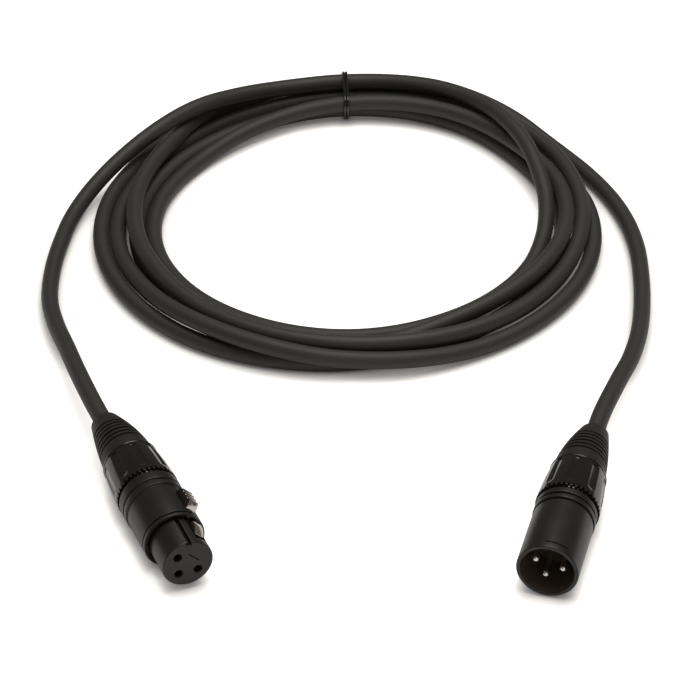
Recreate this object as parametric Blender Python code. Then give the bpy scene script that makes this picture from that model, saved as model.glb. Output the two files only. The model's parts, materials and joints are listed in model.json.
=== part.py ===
"""Balanced audio cable, coiled and tied, with a three-pole socket and plug.

The whole cable lies on a flat surface: five turns held by one tie at the back,
and two tails that come forward to a latching socket (female, on the left) and
a three-pin plug (male, on the right). Each connector is modelled about its own
axis, from its mating face at zero rearwards along local Z. Local X points up
and a roll angle runs from there towards local Y, on the connector's right.
Lengths are in metres and angles in degrees.
"""

import math

import bmesh
import bpy
import numpy as np
from mathutils import Matrix, Vector

# --- Fits -----------------------------------------------------------------
CLEAR = 0.0003                # gap between pieces that touch or nest
SIDES = 40                    # facets round a shell, insert or nut
BOOT_SIDES = 30
SMALL_SIDES = 12              # round a contact, a bore or a pin
CHUCK_SIDES = 24
ARC_STEPS = 4                 # in a rounded edge or a dome
MERGE_DIST = 1e-7
FLAT_AREA = 1e-14
SHARP_ANGLE = 35.0

# --- Cable ----------------------------------------------------------------
CABLE_D = 0.0060
CABLE_R = CABLE_D / 2
CORE_D = 0.0013               # one insulated conductor
REST_GAP = 0.0001             # air under the lowest strand
LOOP_POINTS = 24              # points in one turn of the coil
STRAND_GAP = 0.0007           # wanted between neighbouring strands
SETTLE_SWEEPS = 60
FREE_STEP = 2.5 * CABLE_D     # between points of a free tail
COIL_RESOLUTION = 1           # of each tube's round section
TAIL_RESOLUTION = 2
END_RESOLUTION = 4

# --- Tie round the coil ----------------------------------------------------
TIE_W = 0.0020
TIE_T = 0.0008
TIE_RIDGE = 0.6               # share of the thickness left between its two beads
TIE_FACETS = 12               # round each strand that it bends over
TIE_LIFT_SPREAD = 45.0        # degrees each side over which the lifted strands sink

# --- Nut, boot and clamp, alike on both connectors ---------------------------
NUT_D = 0.0202
NUT_REAR_D = 0.0178
NUT_L = 0.0180
NUT_BULGE = 1.8               # exponent of the barrel's curve
NUT_EDGE = 0.0003             # bevel of its front and rear edges
NUT_STEPS = 5
TEETH = 40
TOOTH_W = 0.0008
TOOTH_DEPTH = 0.0005
TOOTH_L = 0.0016
PANELS = 9
PANEL_W = 0.0042
PANEL_START = 0.0036
PANEL_L = 0.0118
PANEL_DEPTH = 0.00045
SPIGOT_R = 0.0082             # threaded rear tube of a shell, under the nut
SPIGOT_L = 0.0075
BOOT_NECK_R = 0.0080
BOOT_ROOT_R = 0.00845
BOOT_TIP_R = 0.0046
BOOT_L = 0.0226               # behind the nut
BOOT_BULGE = 1.7
BOOT_ROUND = 0.0008
BOOT_STEPS = 4                # of its smooth end
RIBS = 6
RIB_FIRST = 0.0049
RIB_PITCH = 0.0021
RIB_W = 0.0006
RIB_DEPTH = 0.00045
BODY_BORE_R = 0.0066          # bore of both shells, round clamp and contact block
CHUCK_R = BODY_BORE_R - CLEAR
CHUCK_TIP_R = 0.0050
CHUCK_LEAD = 0.0030           # reach into the shell, ahead of the nut
CHUCK_TAPER_L = 0.0090
CHUCK_SLOTS = 3
CHUCK_SLOT_W = 0.0012
CHUCK_SLOT_L = 0.0120
JACKET_LEAD = 0.0010          # jacket's cut end, ahead of the nut
JACKET_STEPS = 4
CORE_STEPS = 5
AXIS_HEIGHT = NUT_D / 2

# --- Contacts, alike on both connectors --------------------------------------
CONTACT_RING_R = 0.00435      # circle that the three contacts stand on
PIN_D = 0.0024
CORE_RING_R = 0.0015

# --- Female connector ---------------------------------------------------------
FEMALE_NUT_AT = 0.0348
NOSE_D = 0.0160
NOSE_L = 0.0118
NOSE_CHAMFER = 0.0005
LIP_INNER_R = 0.0086
LIP_EDGE = 0.0002             # flat front edge of the collar's lip
LIP_GROOVE_L = 0.0017
LIP_GROOVE_LEAD = 0.0003      # where the groove under the lip opens
LIP_ROUND = 0.0012
FEMALE_BODY_R = 0.0097
FEMALE_RINGS_AT = FEMALE_NUT_AT - 0.0061
FEMALE_RING_PITCH = 0.0027
FEMALE_RING_R = 0.0100
KEYWAY_W = 0.0022
KEYWAY_DEPTH = 0.0009
FEMALE_INSERT_L = 0.0220
SOCKET_MOUTH_R = 0.00135
SOCKET_MOUTH_L = 0.0015
SOCKET_R = 0.00145
SOCKET_BORE_R = 0.00125
SOCKET_L = 0.0235
SOCKET_DEPTH = 0.0130         # where the mating pin bottoms
CUP_DEPTH = 0.0035
SLIT_W = 0.0005
SLIT_L = 0.0048
SLIT_DEPTH = 0.0030
SLIT_OFFSET = 0.00265

# --- Latch of the female connector --------------------------------------------
LATCH_ROLL = 45.0
KEYWAY_ROLL = 5.0
LATCH_W = 0.0044
LATCH_T = 0.0010
LATCH_TIP_AT = 0.0030
LATCH_UNDER_R = BODY_BORE_R + CLEAR
HOOK_RISE = 0.0012
HOOK_RAMP_L = 0.0035
HOOK_L = 0.0058
HOOK_BACK_L = 0.0005          # slope behind the hook
BUTTON_W = 0.0056
BUTTON_AT = 0.0156
BUTTON_L = 0.0086
BUTTON_TOP_R = 0.0124
BUTTON_FRONT_DROP = 0.0020    # of its front and rear edges below the ridges
BUTTON_REAR_DROP = 0.0010
BUTTON_RIDGES = 4
RIDGE_DEPTH = 0.0005
RIDGE_GAP = 0.00025           # floor of the groove between two ridges
PIVOT_AT = 0.0260
PIVOT_R = 0.0006
PIVOT_LEN = 0.0080
PIVOT_BOSS_R = 0.0013
PIVOT_BOSS_ARC = 280.0        # of the boss, the rest is the lever
PIVOT_BOSS_STEPS = 8
LATCH_TRAVEL = 3.5            # degrees, pressed home
SPRING_T = 0.00025
SPRING_L = 0.0056
SPRING_RISE = 0.0005
SPRING_W = 0.0034
SPRING_STEPS = 8

# --- Male connector -----------------------------------------------------------
MALE_TUBE_D = 0.0190
MALE_BORE_D = 0.0164
MALE_MOUTH_L = 0.0146         # depth of the mouth to the insert's face
MALE_FLANGE_L = 0.0038
MALE_INSERT_L = 0.0210        # insert's rear face from the mouth
MALE_WIRING_L = 0.0082        # room for the cores between insert and nut
MALE_NUT_AT = MALE_INSERT_L + MALE_WIRING_L
MALE_CHAMFER = 0.0003
MALE_RINGS_AT = MALE_NUT_AT - 0.0055
MALE_RING_PITCH = 0.0026
MALE_RING_R = 0.00975
PIN_RECESS = 0.0028
PIN_TAIL = 0.0010             # pin's end behind the insert
MALE_ROLL = 13.0              # where its catch for the latch is
KEY_TO_CATCH = LATCH_ROLL - KEYWAY_ROLL
KEY_W = 0.0016
KEY_RISE = 0.0007
CATCH_AT = 0.0054
CATCH_L = 0.0048
CATCH_W = 0.0052
CATCH_DEPTH = 0.0009
CATCH_LINE_AT = 0.0023
CATCH_LINE_ARC = 43.0
CATCH_LINE_W = 0.0003
CATCH_LINE_DEPTH = 0.00015
CATCH_LINE_STEPS = 8
RING_GROOVE_W = 0.0005
RING_GROOVE_DEPTH = 0.0004

# --- Where things lie on the ground, read from the photograph ------------------
FEMALE_MOUTH = Vector((-0.0453, -0.1307, AXIS_HEIGHT))
FEMALE_HEADING = -23.0        # degrees from +Y towards +X, mouth to cable
MALE_MOUTH = Vector((0.0615, -0.1342, AXIS_HEIGHT))
MALE_HEADING = 15.8
COIL_CENTRE = Vector((0.0020, 0.0780, 0.0))
LOW = CABLE_R + REST_GAP      # height of a strand that lies on the ground

# A strand is followed clockwise from above, from the tie at the back. Each
# pair is a distance from the coil's centre and a height, every 30 degrees.
STATION_STEP = 30.0
TURNS = (
    ((0.0860, 0.0111), (0.0837, 0.0144), (0.0756, 0.0162), (0.0742, 0.0086),
     (0.0757, LOW), (0.0785, LOW), (0.0810, LOW), (0.0787, LOW),
     (0.0743, LOW), (0.0696, LOW), (0.0663, LOW), (0.0673, 0.0065)),
    ((0.0716, 0.0091), (0.0763, 0.0095), (0.0766, 0.0097), (0.0809, 0.0096),
     (0.0827, 0.0096), (0.0840, 0.0076), (0.0876, 0.0033), (0.0854, LOW),
     (0.0809, LOW), (0.0762, LOW), (0.0732, LOW), (0.0731, 0.0034)),
    ((0.0760, 0.0042), (0.0788, 0.0034), (0.0770, LOW), (0.0795, LOW),
     (0.0838, LOW), (0.0888, LOW), (0.0957, LOW), (0.0974, LOW),
     (0.0937, LOW), (0.0895, LOW), (0.0869, LOW), (0.0929, 0.0034)),
    ((0.0977, 0.0042), (0.0899, 0.0034), (0.0861, LOW), (0.0909, LOW),
     (0.0955, LOW), (0.0987, 0.0032), (0.1004, 0.0077), (0.0950, 0.0093),
     (0.0875, 0.0054), (0.0829, LOW), (0.0802, LOW), (0.0815, 0.0034)),
    ((0.0845, 0.0043), (0.0844, 0.0078), (0.0856, 0.0097), (0.0874, 0.0087),
     (0.0896, 0.0063), (0.0934, 0.0079), (0.0939, 0.0095), (0.0883, 0.0090),
     (0.0812, 0.0097), (0.0775, 0.0096), (0.0782, 0.0094), (0.0879, 0.0080)),
)
# The same for the ends that lie on the pile, with their own angles.
FEMALE_LEAD = (
    (-105.0, 0.1076, LOW), (-90.0, 0.0996, 0.0046), (-75.0, 0.0912, 0.0088),
    (-60.0, 0.0837, 0.0141), (-45.0, 0.0810, 0.0158), (-30.0, 0.0824, 0.0133),
    (-15.0, 0.0847, 0.0110),
)
MALE_LEAD = (
    (0.0, 0.0916, 0.0072), (15.0, 0.0911, 0.0093), (30.0, 0.0908, 0.0099),
    (45.0, 0.0917, 0.0071), (60.0, 0.0928, 0.0040), (75.0, 0.0968, LOW),
    (90.0, 0.1026, LOW), (105.0, 0.1095, LOW),
)
# Free tails from the boots to the leads: points on the ground plan, by eye.
FEMALE_FREE = (
    (-0.0872, -0.0314, 0.0090), (-0.0925, -0.0147, 0.0070), (-0.0981, 0.0029, 0.0047),
    (-0.1020, 0.0200, 0.0033), (-0.1029, 0.0354, LOW),
)
MALE_FREE = (
    (0.0918, -0.0371, 0.0091), (0.0979, -0.0206, 0.0070), (0.1029, -0.0015, 0.0047),
    (0.1059, 0.0174, 0.0033), (0.1075, 0.0360, LOW),
)

MATERIALS = {
    "jacket": ((0.018, 0.018, 0.019), 0.55, 0.0),
    "black_satin": ((0.022, 0.022, 0.023), 0.38, 0.6),
    "gloss_plastic": ((0.012, 0.011, 0.011), 0.18, 0.0),
    "rubber": ((0.014, 0.014, 0.014), 0.62, 0.0),
    "insert_plastic": ((0.030, 0.026, 0.026), 0.50, 0.0),
    "chrome": ((0.72, 0.70, 0.68), 0.18, 1.0),
    "silver": ((0.80, 0.79, 0.77), 0.22, 1.0),
    "clamp_plastic": ((0.10, 0.10, 0.11), 0.45, 0.0),
    "core_white": ((0.60, 0.60, 0.58), 0.45, 0.0),
    "core_red": ((0.38, 0.03, 0.03), 0.45, 0.0),
    "core_screen": ((0.55, 0.50, 0.40), 0.40, 1.0),
    "tie": ((0.010, 0.010, 0.011), 0.20, 0.0),
}
CORE_MATERIALS = ("core_screen", "core_red", "core_white")


# --- Small helpers --------------------------------------------------------------
def material(name):
    """Return the named material, made on first use."""
    found = bpy.data.materials.get(name)
    if found:
        return found
    colour, roughness, metallic = MATERIALS[name]
    made = bpy.data.materials.new(name)
    made.use_nodes = True
    shader = made.node_tree.nodes["Principled BSDF"]
    shader.inputs["Base Color"].default_value = (*colour, 1.0)
    shader.inputs["Roughness"].default_value = roughness
    shader.inputs["Metallic"].default_value = metallic
    made.diffuse_color = (*colour, 1.0)
    return made


def place(name, data, parent, finish, location=(0, 0, 0), roll=0.0):
    """Make an object of a mesh or curve under its parent."""
    made = bpy.data.objects.new(name, data)
    bpy.context.scene.collection.objects.link(made)
    made.parent = parent
    made.location = location
    made.rotation_euler = (0.0, 0.0, math.radians(roll))
    if finish:
        data.materials.append(material(finish))
    return made


def mesh_from(bm, name, smooth=True):
    """Close off a bmesh into a mesh with its faces pointing out."""
    bmesh.ops.recalc_face_normals(bm, faces=bm.faces)
    mesh = bpy.data.meshes.new(name)
    bm.to_mesh(mesh)
    bm.free()
    if smooth:
        mesh.shade_smooth()
        mesh.set_sharp_from_angle(angle=math.radians(SHARP_ANGLE))
    return mesh


def turned(name, outline, sides=SIDES, arc=360.0, roll=0.0):
    """Spin an outline of (radius, station) about Z into a closed mesh."""
    bm = bmesh.new()
    turn = Matrix.Rotation(math.radians(roll), 4, "Z")
    points = [bm.verts.new(turn @ Vector((radius, 0.0, at))) for radius, at in outline]
    edges = [bm.edges.new(pair) for pair in zip(points, points[1:] + points[:1])]
    if arc < 360.0:
        face = bm.faces.new(points)
        bmesh.ops.spin(bm, geom=[face], axis=(0, 0, 1), cent=(0, 0, 0),
                       angle=math.radians(arc), steps=sides)
    else:
        bmesh.ops.spin(bm, geom=points + edges, axis=(0, 0, 1), cent=(0, 0, 0),
                       angle=math.radians(arc), steps=sides, use_merge=True)
        bmesh.ops.remove_doubles(bm, verts=bm.verts, dist=MERGE_DIST)
        flat = [f for f in bm.faces if f.calc_area() < FLAT_AREA]
        bmesh.ops.delete(bm, geom=flat, context="FACES")
        bmesh.ops.delete(bm, geom=[e for e in bm.edges if not e.link_faces], context="EDGES")
    return mesh_from(bm, name)


def rounded(inner, outer, start, length):
    """Outline of a quarter ellipse, from a front face out to a side wall."""
    outline = []
    for step in range(ARC_STEPS + 1):
        swing = math.pi / 2 * step / ARC_STEPS
        outline.append((inner + (outer - inner) * math.sin(swing),
                        start + length * (1 - math.cos(swing))))
    return outline


def extruded(name, outline, width):
    """Extrude an outline of (radius, station), in local XZ, along local Y."""
    bm = bmesh.new()
    points = [bm.verts.new((radius, -width / 2, at)) for radius, at in outline]
    face = bm.faces.new(points)
    grown = bmesh.ops.extrude_face_region(bm, geom=[face])
    moved = [v for v in grown["geom"] if isinstance(v, bmesh.types.BMVert)]
    bmesh.ops.translate(bm, verts=moved, vec=(0.0, width, 0.0))
    return mesh_from(bm, name, smooth=False)


def add_box(bm, low, high, roll=0.0, tilt=0.0):
    """Add a box between two corners of (radius, across, station), then roll it."""
    low, high = Vector(low), Vector(high)
    size = Matrix.Diagonal((*(high - low), 1.0))
    lean = Matrix.Rotation(math.radians(tilt), 4, "Y")
    turn = Matrix.Rotation(math.radians(roll), 4, "Z")
    centre = Matrix.Translation((low + high) / 2)
    bmesh.ops.create_cube(bm, size=1.0, matrix=turn @ centre @ lean @ size)


def add_rod(bm, start, end, radius):
    """Add a cylinder between two points."""
    start, end = Vector(start), Vector(end)
    aim = (end - start).to_track_quat("Z", "Y").to_matrix().to_4x4()
    middle = Matrix.Translation((start + end) / 2)
    bmesh.ops.create_cone(bm, cap_ends=True, segments=SMALL_SIDES, radius1=radius,
                          radius2=radius, depth=(end - start).length, matrix=middle @ aim)


def cut(target, mesh, operation="DIFFERENCE"):
    """Cut a mesh out of a piece, or join it on, with a live modifier."""
    tool = place(f"{mesh.name}_tool", mesh, target.parent, None)
    tool.location = target.location
    tool.rotation_euler = target.rotation_euler
    tool.hide_render = True
    tool.display_type = "WIRE"
    step = target.modifiers.new(mesh.name, "BOOLEAN")
    step.operation = operation
    step.object = tool
    return step


def polar(radius, roll, at=0.0):
    """Point at a radius and roll angle about a connector's axis."""
    angle = math.radians(roll)
    return Vector((radius * math.cos(angle), radius * math.sin(angle), at))


def tube(name, points, diameter, parent, finish, resolution):
    """Lay a round tube along points."""
    curve = bpy.data.curves.new(name, "CURVE")
    curve.dimensions = "3D"
    curve.bevel_depth = diameter / 2
    curve.bevel_resolution = resolution
    curve.use_fill_caps = True
    spline = curve.splines.new("POLY")
    spline.points.add(len(points) - 1)
    for slot, point in zip(spline.points, points):
        slot.co = (*point, 1.0)
    return place(name, curve, parent, finish)


def through(knots, values, wanted):
    """Read a smooth curve through values at uneven knots."""
    knots, values = np.asarray(knots, float), np.asarray(values, float)
    slope = np.gradient(values, knots, axis=0)
    cell = np.clip(np.searchsorted(knots, wanted, side="right") - 1, 0, len(knots) - 2)
    span = knots[cell + 1] - knots[cell]
    t = (wanted - knots[cell]) / span
    if values.ndim > 1:
        t, span = t[:, None], span[:, None]
    rise = values[cell + 1] - values[cell]
    ease = t * t * (3 - 2 * t)
    bend_in = t * (1 - t) ** 2 * span * slope[cell]
    bend_out = t * t * (t - 1) * span * slope[cell + 1]
    return values[cell] + ease * rise + bend_in + bend_out


# --- Nut, boot, clamp and cable end ------------------------------------------------
def barrel(length, front, rear, power, at):
    """Radius of a barrel that narrows along a power curve."""
    return front - (front - rear) * (at / length) ** power


def gland_nut(name, parent, at):
    """Screwed nut with a toothed front edge and shallow grip panels."""
    front, rear = NUT_D / 2, NUT_REAR_D / 2
    spigot_bore = SPIGOT_R + CLEAR
    neck_bore = BOOT_NECK_R + CLEAR
    seat = SPIGOT_L + CLEAR
    outline = [(spigot_bore, 0.0), (front - NUT_EDGE, 0.0)]
    for step in range(NUT_STEPS + 1):
        station = NUT_EDGE + (NUT_L - 2 * NUT_EDGE) * step / NUT_STEPS
        outline.append((barrel(NUT_L, front, rear, NUT_BULGE, station), station))
    outline += [(rear - NUT_EDGE, NUT_L), (neck_bore, NUT_L), (neck_bore, seat),
                (spigot_bore, seat)]
    nut = place(name, turned(name, outline), parent, "gloss_plastic", (0, 0, at))

    notches = bmesh.new()
    for tooth in range(TEETH):
        roll = 360.0 * (tooth + 0.5) / TEETH
        add_box(notches, (front - TOOTH_DEPTH, -TOOTH_W / 2, -TOOTH_L),
                (front + TOOTH_DEPTH, TOOTH_W / 2, TOOTH_L), roll)
    cut(nut, mesh_from(notches, f"{name}_teeth"))

    panels = bmesh.new()
    panel_end = PANEL_START + PANEL_L
    wide = barrel(NUT_L, front, rear, NUT_BULGE, PANEL_START)
    narrow = barrel(NUT_L, front, rear, NUT_BULGE, panel_end)
    lean = -math.degrees(math.atan((wide - narrow) / PANEL_L))
    floor = (wide + narrow) / 2 - PANEL_DEPTH
    for panel in range(PANELS):
        add_box(panels, (floor, -PANEL_W / 2, PANEL_START),
                (front + PANEL_DEPTH, PANEL_W / 2, panel_end),
                360.0 * panel / PANELS, lean)
    cut(nut, mesh_from(panels, f"{name}_panels"))
    return nut


def cable_boot(name, parent, at):
    """Ribbed rubber boot, held by its neck inside the nut."""
    front = SPIGOT_L + 2 * CLEAR
    rear = NUT_L + CLEAR
    end = rear + BOOT_L
    outline = [(CHUCK_R + CLEAR, front), (BOOT_NECK_R, front), (BOOT_NECK_R, rear),
               (BOOT_ROOT_R, rear)]
    for rib in range(RIBS):
        groove = RIB_FIRST + rib * RIB_PITCH
        for offset, depth in ((-RIB_W, 0.0), (0.0, RIB_DEPTH), (RIB_W, 0.0)):
            radius = barrel(BOOT_L, BOOT_ROOT_R, BOOT_TIP_R, BOOT_BULGE, groove + offset)
            outline.append((radius - depth, rear + groove + offset))
    smooth_from = RIB_FIRST + RIBS * RIB_PITCH
    for step in range(1, BOOT_STEPS + 1):
        station = smooth_from + (BOOT_L - BOOT_ROUND - smooth_from) * step / BOOT_STEPS
        outline.append((barrel(BOOT_L, BOOT_ROOT_R, BOOT_TIP_R, BOOT_BULGE, station),
                        rear + station))
    bore = CABLE_R + CLEAR
    taper_from = SPIGOT_L + CLEAR
    taper_end = taper_from + CHUCK_TAPER_L
    outline += [(BOOT_TIP_R - BOOT_ROUND, end), (bore, end), (bore, taper_end + CLEAR),
                (CHUCK_TIP_R + CLEAR, taper_end + CLEAR)]
    return place(name, turned(name, outline, BOOT_SIDES), parent, "rubber", (0, 0, at))


def clamp_chuck(name, parent, at):
    """Slotted collet that the nut squeezes onto the jacket."""
    bore = CABLE_R + CLEAR
    straight_end = SPIGOT_L + CLEAR
    end = straight_end + CHUCK_TAPER_L
    outline = [(bore, -CHUCK_LEAD), (CHUCK_R, -CHUCK_LEAD), (CHUCK_R, straight_end),
               (CHUCK_TIP_R, end), (bore, end)]
    chuck = place(name, turned(name, outline, CHUCK_SIDES), parent, "clamp_plastic", (0, 0, at))
    slots = bmesh.new()
    for slot in range(CHUCK_SLOTS):
        add_box(slots, (bore - CABLE_R / 2, -CHUCK_SLOT_W / 2, end - CHUCK_SLOT_L),
                (CHUCK_R + CABLE_R, CHUCK_SLOT_W / 2, end + CABLE_R),
                360.0 * (slot + 0.5) / CHUCK_SLOTS)
    cut(chuck, mesh_from(slots, f"{name}_slots"))
    return chuck


def cable_end(side, parent, at, rolls, contact_end):
    """Jacket inside the boot and its three cores up to the contacts."""
    start = at - JACKET_LEAD
    end = at + NUT_L + CLEAR + BOOT_L
    pitch = (end - start) / JACKET_STEPS
    middle = [(0, 0, start + pitch * step) for step in range(JACKET_STEPS + 1)]
    tube(f"{side}_jacket_end", middle, CABLE_D, parent, "jacket", END_RESOLUTION)
    first, last = contact_end + CLEAR, start - CLEAR
    for number, roll in enumerate(rolls):
        points = [polar(CONTACT_RING_R, roll, first)]
        for step in range(CORE_STEPS + 1):
            share = step / CORE_STEPS
            ease = share * share * (3 - 2 * share)
            radius = CONTACT_RING_R + (CORE_RING_R - CONTACT_RING_R) * ease
            reach = last - first - 2 * CORE_D
            points.append(polar(radius, roll, first + CORE_D + share * reach))
        points.append(polar(CORE_RING_R, roll, last))
        tube(f"{side}_core_{number + 1}", points, CORE_D, parent,
             CORE_MATERIALS[number], COIL_RESOLUTION)


def rings(start, pitch, count, radius, end):
    """Outline of raised rings between narrow grooves, up to a shoulder."""
    outline = []
    for number in range(count):
        groove = start + number * pitch
        floor = radius - RING_GROOVE_DEPTH
        outline += [(floor, groove - RING_GROOVE_W / 2), (floor, groove + RING_GROOVE_W / 2),
                    (radius, groove + RING_GROOVE_W)]
        outline.append((radius, min(groove + pitch - RING_GROOVE_W, end)))
    return outline


def spigot(nut_at):
    """Outline of a shell's rear tube, from its shoulder to its end."""
    shoulder = nut_at - CLEAR
    return [(SPIGOT_R, shoulder), (SPIGOT_R, nut_at + SPIGOT_L)]


# --- Female connector ----------------------------------------------------------------
def female_shell(axis):
    """Cast shell: nose sleeve, collar lip, body with rings, slots for the latch."""
    nose = NOSE_D / 2
    shoulder = FEMALE_NUT_AT - CLEAR
    outline = [(BODY_BORE_R, 0.0), (nose - NOSE_CHAMFER, 0.0), (nose, NOSE_CHAMFER),
               (nose, NOSE_L + LIP_GROOVE_L), (LIP_INNER_R, NOSE_L + LIP_GROOVE_L),
               (LIP_INNER_R, NOSE_L + LIP_GROOVE_LEAD)]
    outline += rounded(LIP_INNER_R + LIP_EDGE, FEMALE_BODY_R, NOSE_L, LIP_ROUND)
    outline.append((FEMALE_BODY_R, FEMALE_RINGS_AT - RING_GROOVE_W))
    outline += rings(FEMALE_RINGS_AT, FEMALE_RING_PITCH, 2, FEMALE_RING_R, shoulder)
    outline.append((FEMALE_RING_R, shoulder))
    outline += spigot(FEMALE_NUT_AT)
    outline.append((BODY_BORE_R, FEMALE_NUT_AT + SPIGOT_L))
    shell = place("female_shell", turned("female_shell", outline), axis, "black_satin")

    keyway = bmesh.new()
    add_box(keyway, (nose - KEYWAY_DEPTH, -KEYWAY_W / 2, -NOSE_CHAMFER),
            (nose + KEYWAY_DEPTH, KEYWAY_W / 2, NOSE_L), KEYWAY_ROLL)
    cut(shell, mesh_from(keyway, "female_keyway"))

    channel = bmesh.new()
    half = LATCH_W / 2 + CLEAR
    roof = pivot_radius() + PIVOT_BOSS_R + CLEAR
    add_box(channel, (channel_floor(), -half, LATCH_TIP_AT - 2 * CLEAR),
            (roof, half, PIVOT_AT + PIVOT_BOSS_R + CLEAR), LATCH_ROLL)
    cut(shell, mesh_from(channel, "female_latch_channel"))

    window = bmesh.new()
    sway = (BUTTON_TOP_R - pivot_radius()) * math.sin(math.radians(LATCH_TRAVEL))
    half = BUTTON_W / 2 + CLEAR
    add_box(window, (channel_floor(), -half, BUTTON_AT - sway - CLEAR),
            (BUTTON_TOP_R, half, BUTTON_AT + BUTTON_L + CLEAR), LATCH_ROLL)
    cut(shell, mesh_from(window, "female_button_window"))

    holes = bmesh.new()
    reach = PIVOT_LEN / 2 + CLEAR
    turn = Matrix.Rotation(math.radians(LATCH_ROLL), 4, "Z")
    add_rod(holes, turn @ Vector((pivot_radius(), -reach, PIVOT_AT)),
            turn @ Vector((pivot_radius(), reach, PIVOT_AT)), PIVOT_R + CLEAR)
    cut(shell, mesh_from(holes, "female_pivot_holes"))
    return shell


def female_rolls():
    """Roll angles of the three sockets: two beside the latch, one opposite."""
    return (LATCH_ROLL - 90.0, LATCH_ROLL + 90.0, LATCH_ROLL + 180.0)


def female_insert(axis):
    """Contact block with three holes, a slit and the latch's channel."""
    radius = BODY_BORE_R - CLEAR
    outline = [(0.0, 0.0), (radius, 0.0), (radius, FEMALE_INSERT_L), (0.0, FEMALE_INSERT_L)]
    block = place("female_insert", turned("female_insert", outline), axis, "insert_plastic")

    holes = bmesh.new()
    for roll in female_rolls():
        add_rod(holes, polar(CONTACT_RING_R, roll, SOCKET_MOUTH_L),
                polar(CONTACT_RING_R, roll, FEMALE_INSERT_L + CLEAR), SOCKET_R + CLEAR)
    cut(block, mesh_from(holes, "female_socket_bores"))
    mouths = bmesh.new()
    for roll in female_rolls():
        add_rod(mouths, polar(CONTACT_RING_R, roll, -CLEAR),
                polar(CONTACT_RING_R, roll, SOCKET_MOUTH_L + CLEAR), SOCKET_MOUTH_R)
    cut(block, mesh_from(mouths, "female_socket_mouths"))

    openings = bmesh.new()
    half = LATCH_W / 2 + CLEAR
    add_box(openings, (channel_floor(), -half, LATCH_TIP_AT - 2 * CLEAR),
            (NOSE_D / 2, half, FEMALE_INSERT_L + CLEAR), LATCH_ROLL)
    add_box(openings, (SLIT_OFFSET - SLIT_W / 2, -SLIT_L / 2, -SLIT_DEPTH),
            (SLIT_OFFSET + SLIT_W / 2, SLIT_L / 2, SLIT_DEPTH), LATCH_ROLL)
    cut(block, mesh_from(openings, "female_insert_openings"))
    return block


def socket_contact(number, axis, roll):
    """Turned contact tube with an open front and a solder cup behind."""
    cup = SOCKET_L - CUP_DEPTH
    outline = [(SOCKET_BORE_R, 0.0), (SOCKET_R, 0.0), (SOCKET_R, SOCKET_L),
               (SOCKET_BORE_R, SOCKET_L), (SOCKET_BORE_R, cup), (0.0, cup),
               (0.0, SOCKET_DEPTH), (SOCKET_BORE_R, SOCKET_DEPTH)]
    name = f"female_contact_{number}"
    start = SOCKET_MOUTH_L + CLEAR
    return place(name, turned(name, outline, SMALL_SIDES), axis, "silver",
                 polar(CONTACT_RING_R, roll, start))


def pivot_radius():
    """Distance of the latch's pivot from the connector's axis."""
    return LATCH_UNDER_R + LATCH_T / 2


def channel_floor():
    """Floor of the latch's channel, clear of the lever's tip when pressed."""
    drop = (PIVOT_AT - LATCH_TIP_AT) * math.sin(math.radians(LATCH_TRAVEL))
    return LATCH_UNDER_R - drop - CLEAR


def female_latch(axis):
    """Sprung lever: hook in the nose, serrated button behind the collar."""
    base = pivot_radius()
    under, over = LATCH_UNDER_R - base, LATCH_UNDER_R + LATCH_T - base
    tip = LATCH_TIP_AT - PIVOT_AT
    lever = [(under, tip), (over, tip), (over + HOOK_RISE, tip + HOOK_RAMP_L),
             (over + HOOK_RISE, tip + HOOK_L), (over, tip + HOOK_L + HOOK_BACK_L),
             (over, -PIVOT_BOSS_R)]
    for step in range(PIVOT_BOSS_STEPS + 1):
        swing = math.radians(PIVOT_BOSS_ARC * (step / PIVOT_BOSS_STEPS - 0.5))
        lever.append((-PIVOT_BOSS_R * math.sin(swing), PIVOT_BOSS_R * math.cos(swing)))
    lever.append((under, -PIVOT_BOSS_R))
    where = polar(base, LATCH_ROLL, PIVOT_AT)
    latch = place("female_latch", extruded("female_latch", lever, LATCH_W), axis,
                  "chrome", where, LATCH_ROLL)

    front = BUTTON_AT - PIVOT_AT
    top = BUTTON_TOP_R - base
    base_line = under + LATCH_T / 4
    button = [(base_line, front), (top - BUTTON_FRONT_DROP, front)]
    pitch = BUTTON_L / (BUTTON_RIDGES + 1)
    for ridge in range(BUTTON_RIDGES):
        start = front + pitch * (ridge + 0.5)
        button += [(top - RIDGE_DEPTH, start), (top, start + pitch / 3),
                   (top, start + 2 * pitch / 3), (top - RIDGE_DEPTH, start + pitch - RIDGE_GAP)]
    button += [(top - BUTTON_REAR_DROP, front + BUTTON_L), (base_line, front + BUTTON_L)]
    cut(latch, extruded("female_button", button, BUTTON_W), "UNION")
    bore = bmesh.new()
    add_rod(bore, (0, -BUTTON_W, 0), (0, BUTTON_W, 0), PIVOT_R + CLEAR)
    cut(latch, mesh_from(bore, "female_pivot_bore"))
    return latch


def latch_pin(axis):
    """Pin that the latch turns on, seated in the shell at both ends."""
    pin = bmesh.new()
    add_rod(pin, (0, -PIVOT_LEN / 2, 0), (0, PIVOT_LEN / 2, 0), PIVOT_R)
    where = polar(pivot_radius(), LATCH_ROLL, PIVOT_AT)
    return place("female_latch_pin", mesh_from(pin, "female_latch_pin"), axis, "silver",
                 where, LATCH_ROLL)


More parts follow.
